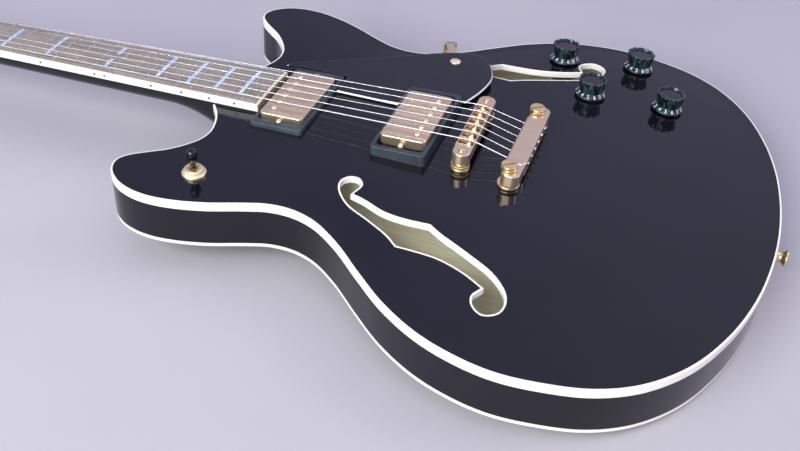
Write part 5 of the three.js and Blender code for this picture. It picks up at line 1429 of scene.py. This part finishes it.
def build_pickups():
    """Metal covers with pole screws in black rings, with their height screws."""
    for name, (along, top, ring_top, pole_side, ring_length, end_gap) in PICKUPS.items():
        place = IN_NECK @ shift(along, 0, 0)
        cover = slab(rectangle(COVER_WIDTH, COVER_LENGTH, COVER_CORNER, 8), top - COVER_DEPTH,
                     top, 1.2, 5)
        pole_top = top + POLE_PROUD
        pole = lathe(filleted([(0, top - 4), (POLE_RADIUS, top - 4), (POLE_RADIUS, top + 0.3),
                               (POLE_RADIUS * 0.7, pole_top), (0, pole_top)], 0.5), 32)
        poles, holes, slots = [], [], []
        for index in range(STRING_COUNT):
            spot = shift(pole_side * POLE_OFFSET, POLE_PITCH * (index - 2.5), 0)
            holes.append(moved(rod(POLE_RADIUS + 0.25, top - 3, top + 2), spot))
            poles.append(moved(pole, spot))
            slots.append(moved(slot_cut(0.8, 3, 0.6, pole_top),
                               spot @ turn(25 + 50 * (index * 0.37 % 1), "Z")))
        piece(f"{name}_cover", [cover], "cover gold", "pickup_gold", place=place,
              replaces=[f"{name}_pickup_cover"], cuts=holes)
        piece(f"{name}_pole_screws", poles, "pale gold", place=place, cuts=slots)
        floor = top - COVER_DEPTH
        width, length = BOBBIN_HALF
        bobbins = [block(side * POLE_OFFSET - width, side * POLE_OFFSET + width, -length,
                         length, floor - 3, floor, 3) for side in (-1, 1)]
        piece(f"{name}_bobbins", bobbins, "coil black", place=place,
              replaces=[f"{name}_pickup_coils"])
        # The ring's section: up its outer wall, over its rounded edge and down its inner wall
        upper = rectangle(RING_WIDTH - 0.6, ring_length - 0.6, RING_CORNER, 8)
        rings = [at_height(rectangle(RING_WIDTH, ring_length, RING_CORNER, 8), RING_FOOT)]
        for k in range(5):
            a = math.pi / 2 * k / 4
            rings.append(at_height(inset(upper, RING_EDGE * (1 - math.cos(a))),
                                   ring_top - RING_EDGE * (1 - math.sin(a))))
        inner = rectangle(COVER_WIDTH + 2 * RING_GAP, COVER_LENGTH + 2 * end_gap,
                          COVER_CORNER, 8)
        rings += [at_height(inner, ring_top), at_height(inset(inner, 0.05), ring_top - 0.3),
                  at_height(inset(inner, 0.05), RING_FOOT)]
        screws, grooves = [], []
        for side in SIDES.values():
            spot = shift(0, side * (COVER_LENGTH / 2 + RING_SCREW_OUT),
                         min(ring_top, RING_SCREW_SEAT) - 0.6)
            screws += [moved(screw_head(2.3, 2.1), spot), moved(rod(1.1, -8, 0), spot)]
            grooves.append(moved(slot_cut(0.7, 3, 0.8, 2.1), spot @ turn(40, "Z")))
        piece(f"{name}_ring", [stack(rings, closed=True)], "ring plastic", place=place,
              replaces=[f"{name}_pickup_ring"])
        piece(f"{name}_ring_screws", screws, "pale gold", place=place, cuts=grooves)


def numeral(text, size):
    """The flat shape of a number, centred on the origin."""
    curve = bpy.data.curves.new("numeral", "FONT")
    curve.body, curve.size = text, size
    curve.align_x, curve.align_y = "CENTER", "CENTER"
    obj = bpy.data.objects.new("numeral", curve)
    bpy.context.scene.collection.objects.link(obj)
    bpy.context.view_layer.update()
    seen = obj.evaluated_get(bpy.context.evaluated_depsgraph_get())
    mesh = bpy.data.meshes.new_from_object(seen)
    shape = ([v.co.copy() for v in mesh.vertices], [tuple(p.vertices) for p in mesh.polygons])
    bpy.data.objects.remove(obj)
    bpy.data.meshes.remove(mesh)
    return shape


def build_knobs():
    """Four top-hat knobs with scalloped tops and numbers round their skirts."""
    top = KNOB_LIFT + KNOB_HEIGHT
    skirt_low, skirt_high = KNOB_LIFT + SKIRT_EDGE, KNOB_LIFT + SKIRT_HEIGHT
    numbers = [numeral(str(n), NUMBER_SIZE) for n in range(KNOB_NUMBERS)]

    def scallop(radius, height, angle):
        share = (height - top + SCALLOP_LENGTH) / SCALLOP_LENGTH
        if share < 0 or radius < KNOB_TOP_RADIUS - 3:
            return radius
        wave = max(0.0, math.cos(KNOB_SCALLOPS * angle)) ** 1.2
        return radius - SCALLOP_DEPTH * wave * share ** 1.3

    profile = filleted([(SHAFT_RADIUS, -4), (SHAFT_RADIUS, KNOB_LIFT), (SKIRT_RADIUS, KNOB_LIFT),
                        (SKIRT_RADIUS, skirt_low), (KNOB_BASE_RADIUS, skirt_high)], 0.4)
    for k in range(1, 10):
        t = k / 10
        profile.append((KNOB_BASE_RADIUS + (KNOB_TOP_RADIUS - KNOB_BASE_RADIUS) * t,
                        skirt_high + (top - 0.6 - skirt_high) * t))
    profile += [(KNOB_TOP_RADIUS - inward, top - down) for inward, down in KNOB_RIM]
    profile += [(KNOB_TOP_RADIUS * 0.4, top - 1.9), (0, top - 1.9)]
    slope = Vector((KNOB_BASE_RADIUS - SKIRT_RADIUS, 0, skirt_high - skirt_low)).normalized()
    out = Vector((slope.z, 0, -slope.x))
    middle = Vector(((SKIRT_RADIUS + KNOB_BASE_RADIUS) / 2, 0, (skirt_low + skirt_high) / 2))
    onto_skirt = Matrix.Translation(middle + out * 0.06) @ Matrix(
        ((0, slope.x, out.x, 0), (1, 0, 0, 0), (0, slope.z, out.z, 0), (0, 0, 0, 1)))
    knob = lathe(profile, 240, scallop)
    disc = lathe([(0, top - 2.1), (DISC_RADIUS, top - 2.1), (DISC_RADIUS, top - 1.7),
                  (0, top - 1.8)], 96)
    marks = [moved(number, turn(FIRST_NUMBER + NUMBER_STEP * n, "Z") @ onto_skirt)
             for n, number in enumerate(numbers)]
    for name, shares in KNOB_PLACES.items():
        ride = {"body": name, "place": seat_on_top(on_body(shares))}
        piece(f"{name}_body", [knob], "knob plastic", replaces=[name], **ride)
        piece(f"{name}_disc", [disc], "black plastic", **ride)
        piece(f"{name}_marks", marks, "white", weighted=False, **ride)


def build_selector():
    """Selector switch with its washer, knurled nut and black-tipped lever."""
    place = seat_on_top(on_body(SWITCH_PLACE))

    def knurl(radius, height, angle):
        return radius + (0.16 * math.cos(28 * angle) if radius > 7 else 0)

    piece("selector_hardware", [
        lathe(filleted(SWITCH_WASHER, 0.5), 72), lathe(filleted(SWITCH_NUT, 0.4), 168, knurl),
        lathe(filleted(SWITCH_THROAT, 0.5), 48)], "pale gold", place=place)
    dress("selector_switch", "gold")
    shaft = lathe([(0, -7), (1.5, -7), (1.5, 6), (0, 6)], 32)
    piece("lever_shaft", [shaft], "gold", body="selector_lever", place=place,
          replaces=["selector_lever"])
    piece("lever_tip", [lathe(filleted(LEVER_TIP, 1.4, 4), 64)], "black plastic",
          body="selector_lever", place=place)


def build_pickguard():
    """Black pickguard with a white edge, its screw and its side bracket."""
    ring_edge = RING_LENGTH / 2 + GUARD_GAP
    start = NECK_PICKUP_AT - GUARD_BEFORE_PICKUP
    outer = smooth([(start + GUARD_LENGTH * a, ring_edge + GUARD_REACH * b)
                    for a, b in GUARD_EDGE], 6)
    clear = GUARD_GAP + SEAT
    near, far = GUARD_CLEARS
    low = (IN_NECK @ Vector((NECK_PICKUP_AT + RING_WIDTH / 2, 0, near))).x + clear
    high = (IN_NECK @ Vector((BRIDGE_PICKUP_AT - RING_WIDTH / 2, 0, far))).x - clear
    loop = outer + [Vector(p) for p in ((low, ring_edge), (low, GUARD_INNER_EDGE),
                                        (high, GUARD_INNER_EDGE), (high, ring_edge))]
    bottom, top = GUARD_HEIGHT, GUARD_HEIGHT + GUARD_THICKNESS
    x = start + GUARD_LENGTH * GUARD_SCREW[0]
    y = ring_edge + GUARD_REACH * GUARD_SCREW[1]
    core = slab(inset(loop, GUARD_BEVEL - 0.04), bottom, top, 0.15)
    lean = shift(GUARD_PIVOT, 0, top) @ turn(-GUARD_TILT, "Y") @ shift(-GUARD_PIVOT, 0, -top)
    drop = (GUARD_PIVOT - x) * math.tan(math.radians(GUARD_TILT))
    sides = [at_height(inset(loop, d), z) for d, z in (
        (GUARD_BEVEL, bottom + 1.0), (0, bottom + 1.0), (0, bottom + 1.4),
        (GUARD_BEVEL, top - 0.02))]
    turned = len(outer)
    rings = [list(ring) for ring in zip(*(side[turned:] + side[:turned] for side in sides))]
    piece("guard_plate", [core], "black plastic", place=lean, replaces=["pickguard"])
    piece("guard_white_edge", [stack(rings)], "white", place=lean)
    bottom, top = bottom - drop, top - drop
    arm_top = bottom - SEAT
    outward = on_body(BRACKET_PLACE) - Vector((x, y))
    reach = outward.length + BRACKET_FOOT
    frame_here = shift(x, y, 0) @ Matrix.Rotation(math.atan2(outward.y, outward.x), 4, "Z")
    arm = block(-GUARD_SCREW_HEAD, reach, -BRACKET_WIDTH / 3, BRACKET_WIDTH / 3,
                arm_top - BRACKET_THICKNESS, arm_top, 1.0, 0.3)
    leg = block(reach - BRACKET_FOOT, reach, -BRACKET_WIDTH / 2, BRACKET_WIDTH / 2,
                arm_top - BRACKET_DROP, arm_top, 1.2, 0.4)
    head_top = top + 2.1
    screw = lathe(filleted([
        (0, arm_top - 3), (2, arm_top - 3), (2, top), (GUARD_SCREW_HEAD, top + 0.05),
        (GUARD_SCREW_HEAD, top + 0.7), (2.6, top + 1.9), (0, head_top)], 0.7), 48)
    dip = shift(0, 0, arm_top) @ turn(BRACKET_DIP, "Y") @ shift(0, 0, -arm_top)
    piece("guard_bracket", [arm, leg], "cover gold", place=frame_here @ dip,
          replaces=["pickguard_bracket"])
    piece("guard_screw", [screw], "pale gold", place=shift(x, y, 0),
          cuts=[moved(slot_cut(1.0, 5, 1.0, head_top), turn(20, "Z"))])


def build_side_hardware():
    """Strap button on the tail and the output jack on the treble side."""
    place = shift(TAIL_END, 0, -BUTTON_HEIGHT) @ turn(90, "Y")
    piece("strap_button_turned", [lathe(filleted(STRAP_BUTTON, 0.9, 4), 72)], "gold",
          place=place, replaces=["strap_button"],
          cuts=[slot_cut(1.1, 3, 1.2, STRAP_BUTTON[-1][1])])
    jack = on_body(JACK_PLACE)

    def hexagon(radius, height, angle):
        if 6 < radius < 6.8 and height > 1.6:
            local = (angle + math.pi / 6) % (math.pi / 3) - math.pi / 6
            return radius * 0.9 / math.cos(local)
        return radius

    place = shift(jack.x, jack.y + SEAT, -SIDE_DEPTH / 2) @ turn(-90, "X")
    piece("jack_turned", [lathe(filleted(JACK, 0.35), 96, hexagon)], "gold", place=place,
          replaces=["output_jack"])


def build_tuners():
    """Tuner posts, buttons with their shafts, and plates with three shells each."""
    plate_top = -HEAD_THICKNESS - SEAT
    plate_bottom = plate_top - TUNER_PLATE_THICKNESS
    shell_bottom = plate_bottom - TUNER_SHELL_DEPTH
    gear_middle = (plate_bottom + shell_bottom + TUNER_PLATE_THICKNESS) / 2
    worm = GEAR_RADIUS + WORM_RADIUS + SEAT
    foot = gear_middle + 1
    post = lathe(filleted(((0, foot), (POST_RADIUS, foot)) + TUNER_POST_HEAD, 0.5), 48)
    collar = lathe(filleted(TUNER_COLLAR, 0.4), 48)
    shaft = lathe([(0, -6), (1.6, -6), (1.6, KEY_REACH - 6), (2.3, KEY_REACH - 5),
                   (2.3, KEY_REACH - 3), (0, KEY_REACH - 3)], 32)
    width, length, half = KEY_HALF
    oval = []
    for k in range(48):
        c, s = math.cos(2 * math.pi * k / 48), math.sin(2 * math.pi * k / 48)
        oval.append(Vector((width * c * (1 - 0.1 * s), KEY_REACH + length * s)))
    key = [slab(oval, -half, half, 2.2, 6), moved(shaft, turn(-90, "X"))]
    along, across = TUNER_PLATE_MARGIN
    shell_along, shell_across = TUNER_SHELL_HALF
    for name, side in SIDES.items():
        y = side * POST_OUT
        last = -POST_FIRST - POST_PITCH * (POSTS_PER_SIDE - 1)
        shells = [block(last - along, -POST_FIRST + along, y - across, y + across,
                        plate_bottom, plate_top, 2, 0.3)]
        for i in range(POSTS_PER_SIDE):
            x = -POST_FIRST - POST_PITCH * i + worm / 2
            order = STRING_COUNT - i if side < 0 else i + 1
            shells.append(block(x - shell_along, x + shell_along, y - shell_across,
                                y + shell_across, shell_bottom, plate_top - SEAT, 2.5, 1.4))
            place = post_place(side, i)
            piece(f"tuner_post_turned_{order}", [post], "gold", body=f"tuner_post_{order}",
                  place=place, replaces=[f"tuner_post_{order}"],
                  cuts=[moved(rod(0.8, -6, 6, 16), shift(0, 0, 9) @ turn(90, "X"))])
            piece(f"tuner_collar_{order}", [collar], "gold", place=place)
            facing = turn(180 if side < 0 else 0, "Z")
            piece(f"tuner_key_{order}", key, "gold", body=f"tuner_button_{order}",
                  place=place @ shift(worm, 0, gear_middle) @ facing,
                  replaces=[f"tuner_button_{order}"])
        piece(f"tuner_housing_{name}", shells, "gold", place=IN_HEAD,
              replaces=[f"tuner_plate_{name}"])


def dress(node, finish):
    """Gives a CAD piece that stays in place its finish."""
    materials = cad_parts[node].data.materials
    materials.clear()
    materials.append(FINISHES[finish])


def build_inner():
    """Finishes of the CAD pieces that stay: block and control harness."""
    dress("centre_block", "maple")
    dress("control_harness", "pot steel")


def build_stage(looks):
    """Pale floor, even surroundings and three soft lamps."""
    scene = bpy.context.scene
    bm = bmesh.new()
    bmesh.ops.create_grid(bm, x_segments=8, y_segments=8, size=FLOOR_SIZE)
    mesh = bpy.data.meshes.new("floor")
    bm.to_mesh(mesh)
    bm.free()
    mesh.materials.append(FINISHES["floor"])
    floor = bpy.data.objects.new("floor", mesh)
    scene.collection.objects.link(floor)

    scene.world = bpy.data.worlds.new("studio")
    scene.world.use_nodes = True
    tree = scene.world.node_tree
    tree.nodes.clear()
    way = add(tree, "ShaderNodeSeparateXYZ",
              {0: add(tree, "ShaderNodeTexCoord").outputs["Generated"]})
    # The far left of the room is dimmer, and the room gives reflections a violet cast
    along = add(tree, "ShaderNodeMapRange", {"Value": way.outputs["X"], "From Min": -0.5,
                                             "From Max": 0.1})
    room = add(tree, "ShaderNodeValToRGB", {0: along.outputs[0]},
               ((0.0, rgb("A6A3CB")), (1.0, rgb("D5D2FA"))))
    # It also brightens from the floor up
    rise = add(tree, "ShaderNodeMapRange", {"Value": way.outputs["Z"], "From Min": 0.4,
                                            "From Max": 0.68, "To Min": 0.78, "To Max": 1.08})
    colour = add(tree, "ShaderNodeMix", {0: 1.0, 6: room.outputs[0], 7: rise.outputs[0]},
                 data_type="RGBA", blend_type="MULTIPLY")
    seen = add(tree, "ShaderNodeLightPath").outputs["Is Camera Ray"]
    shown = add(tree, "ShaderNodeMix", {0: seen, 6: colour.outputs[2],
                                        7: (*rgb("E2E0EA"), 1)}, data_type="RGBA")
    light = add(tree, "ShaderNodeBackground", {"Color": shown.outputs[2],
                                               "Strength": looks.sky_level})
    add(tree, "ShaderNodeOutputWorld", {0: light.outputs[0]})

    for name, (place, aim, width, height, share, tint) in LAMPS.items():
        lamp = bpy.data.lights.new(name, "AREA")
        lamp.shape, lamp.size, lamp.size_y = "RECTANGLE", width, height
        lamp.energy, lamp.color = looks.key_power * share, tint
        lamp.spread = LAMP_SPREAD
        obj = bpy.data.objects.new(name, lamp)
        obj.location = place
        obj.rotation_euler = (Vector(aim) - Vector(place)).to_track_quat("-Z", "Y").to_euler()
        scene.collection.objects.link(obj)
    scene.view_settings.view_transform = "Standard"


def build_camera(looks):
    """Camera at the photograph's viewing angle."""
    place, aim = BODY @ CAMERA_PLACE, BODY @ CAMERA_AIM
    ahead = (aim - place).normalized()
    up = (BODY.to_3x3() @ CAMERA_UP).normalized()
    right = ahead.cross(up).normalized()
    up = right.cross(ahead)
    c, s = math.cos(CAMERA_ROLL), math.sin(CAMERA_ROLL)
    right, up = right * c + up * s, up * c - right * s
    data = bpy.data.cameras.new("camera")
    data.sensor_fit = "HORIZONTAL"
    data.sensor_width = 36.0
    data.lens = looks.lens
    data.clip_start, data.clip_end = 0.01, 50
    camera = bpy.data.objects.new("camera", data)
    camera.matrix_world = Matrix((
        (right.x, up.x, -ahead.x, place.x), (right.y, up.y, -ahead.y, place.y),
        (right.z, up.z, -ahead.z, place.z), (0, 0, 0, 1)))
    bpy.context.scene.collection.objects.link(camera)
    bpy.context.scene.camera = camera


# ---------------------------------------------------------------- add-on

class GuitarLooks(bpy.types.PropertyGroup):
    """Colours and sizes that a user would change."""
    lacquer_colour: FloatVectorProperty(
        name="Lacquer", description="Colour of the body's lacquer", subtype="COLOR",
        size=3, min=0, max=1, default=rgb("0D0D13"))
    binding_colour: FloatVectorProperty(
        name="Binding", description="Colour of the plastic binding", subtype="COLOR",
        size=3, min=0, max=1, default=rgb("F3EFE2"))
    gold_colour: FloatVectorProperty(
        name="Gold", description="Colour of the small plated parts", subtype="COLOR",
        size=3, min=0, max=1, default=rgb("EED5A4"))
    cover_colour: FloatVectorProperty(
        name="Covers", description="Colour of the covers, bridge and tailpiece",
        subtype="COLOR", size=3, min=0, max=1, default=rgb("E6CDAE"))
    fret_count: IntProperty(
        name="Frets", description="Number of frets on the board", default=FRET_COUNT,
        min=1, max=24)
    lens: FloatProperty(
        name="Lens", description="Focal length of the camera in millimetres",
        subtype="DISTANCE_CAMERA", unit="CAMERA", default=45.28, min=10, max=200)
    key_power: FloatProperty(
        name="Key lamp", description="Power of the main lamp", subtype="POWER",
        unit="POWER", default=32.0, min=0)
    sky_level: FloatProperty(
        name="Surroundings", description="Brightness of the surroundings", default=0.95,
        min=0, max=2)


class GUITAR_OT_finishes(bpy.types.Operator):
    """Makes the finishes that the pieces wear"""
    bl_idname = "guitar.finishes"
    bl_label = "Finishes"

    def execute(self, context):
        for key, row in FINISH_ROWS.items():
            FINISHES[key] = make_finish(context.scene.guitar_looks, **row)
        return {"FINISHED"}


class GUITAR_OT_camera(bpy.types.Operator):
    """Places the camera at the photograph's viewing angle"""
    bl_idname = "guitar.camera"
    bl_label = "Camera"

    def execute(self, context):
        build_camera(context.scene.guitar_looks)
        return {"FINISHED"}


class GUITAR_OT_shell(bpy.types.Operator):
    """Builds the top, the back, the sides and their binding"""
    bl_idname = "guitar.shell"
    bl_label = "Body shell"

    def execute(self, context):
        build_shell()
        return {"FINISHED"}


class GUITAR_OT_f_holes(bpy.types.Operator):
    """Builds the bound walls of the f-holes"""
    bl_idname = "guitar.f_holes"
    bl_label = "F-holes"

    def execute(self, context):
        build_f_holes()
        return {"FINISHED"}


class GUITAR_OT_neck(bpy.types.Operator):
    """Builds the neck with its heel and headstock"""
    bl_idname = "guitar.neck"
    bl_label = "Neck"

    def execute(self, context):
        build_neck()
        return {"FINISHED"}


class GUITAR_OT_board(bpy.types.Operator):
    """Builds the fretboard, frets, inlays and nut"""
    bl_idname = "guitar.board"
    bl_label = "Fretboard"

    def execute(self, context):
        build_board(context.scene.guitar_looks)
        return {"FINISHED"}


class GUITAR_OT_strings(bpy.types.Operator):
    """Builds the six strings"""
    bl_idname = "guitar.strings"
    bl_label = "Strings"

    def execute(self, context):
        build_strings()
        return {"FINISHED"}


class GUITAR_OT_bridge(bpy.types.Operator):
    """Builds the bridge, its saddles and its posts"""
    bl_idname = "guitar.bridge"
    bl_label = "Bridge"

    def execute(self, context):
        build_bridge()
        return {"FINISHED"}


class GUITAR_OT_tailpiece(bpy.types.Operator):
    """Builds the stop tailpiece and its studs"""
    bl_idname = "guitar.tailpiece"
    bl_label = "Tailpiece"

    def execute(self, context):
        build_tailpiece()
        return {"FINISHED"}


class GUITAR_OT_pickups(bpy.types.Operator):
    """Builds the two pickups and their rings"""
    bl_idname = "guitar.pickups"
    bl_label = "Pickups"

    def execute(self, context):
        build_pickups()
        return {"FINISHED"}


class GUITAR_OT_knobs(bpy.types.Operator):
    """Builds the four control knobs"""
    bl_idname = "guitar.knobs"
    bl_label = "Knobs"

    def execute(self, context):
        build_knobs()
        return {"FINISHED"}


class GUITAR_OT_selector(bpy.types.Operator):
    """Builds the pickup selector"""
    bl_idname = "guitar.selector"
    bl_label = "Selector"

    def execute(self, context):
        build_selector()
        return {"FINISHED"}


class GUITAR_OT_pickguard(bpy.types.Operator):
    """Builds the pickguard and its bracket"""
    bl_idname = "guitar.pickguard"
    bl_label = "Pickguard"

    def execute(self, context):
        build_pickguard()
        return {"FINISHED"}


class GUITAR_OT_side_hardware(bpy.types.Operator):
    """Builds the strap button and the output jack"""
    bl_idname = "guitar.side_hardware"
    bl_label = "Strap button and jack"

    def execute(self, context):
        build_side_hardware()
        return {"FINISHED"}


class GUITAR_OT_tuners(bpy.types.Operator):
    """Builds the tuners"""
    bl_idname = "guitar.tuners"
    bl_label = "Tuners"

    def execute(self, context):
        build_tuners()
        return {"FINISHED"}


class GUITAR_OT_inner(bpy.types.Operator):
    """Finishes the pieces inside the body"""
    bl_idname = "guitar.inner"
    bl_label = "Inner parts"

    def execute(self, context):
        build_inner()
        return {"FINISHED"}


class GUITAR_OT_stage(bpy.types.Operator):
    """Builds the floor, the surroundings and the lamps"""
    bl_idname = "guitar.stage"
    bl_label = "Stage"

    def execute(self, context):
        build_stage(context.scene.guitar_looks)
        return {"FINISHED"}


STEPS = (GUITAR_OT_finishes, GUITAR_OT_camera, GUITAR_OT_shell, GUITAR_OT_f_holes,
         GUITAR_OT_neck, GUITAR_OT_board, GUITAR_OT_strings, GUITAR_OT_bridge,
         GUITAR_OT_tailpiece, GUITAR_OT_pickups, GUITAR_OT_knobs, GUITAR_OT_selector,
         GUITAR_OT_pickguard, GUITAR_OT_side_hardware, GUITAR_OT_tuners, GUITAR_OT_inner,
         GUITAR_OT_stage)


class GUITAR_PT_panel(bpy.types.Panel):
    """Lists the guitar's settings and steps"""
    bl_idname = "GUITAR_PT_panel"
    bl_label = "Guitar"
    bl_space_type = "VIEW_3D"
    bl_region_type = "UI"
    bl_category = "Guitar"

    def draw(self, context):
        looks = context.scene.guitar_looks
        for name in ("lacquer_colour", "binding_colour", "gold_colour", "cover_colour",
                     "fret_count", "lens", "key_power", "sky_level"):
            self.layout.prop(looks, name)
        for step in STEPS:
            self.layout.operator(step.bl_idname)


CLASSES = (GuitarLooks, *STEPS, GUITAR_PT_panel)


def register():
    """Registers the classes and the settings."""
    for each in CLASSES:
        bpy.utils.register_class(each)
    bpy.types.Scene.guitar_looks = PointerProperty(type=GuitarLooks)


def unregister():
    """Takes the classes and the settings out again."""
    del bpy.types.Scene.guitar_looks
    for each in reversed(CLASSES):
        bpy.utils.unregister_class(each)


def main():
    """Builds everything."""
    register()
    for step in STEPS:
        group, name = step.bl_idname.split(".")
        getattr(getattr(bpy.ops, group), name)()


if __name__ == "__main__":
    main()
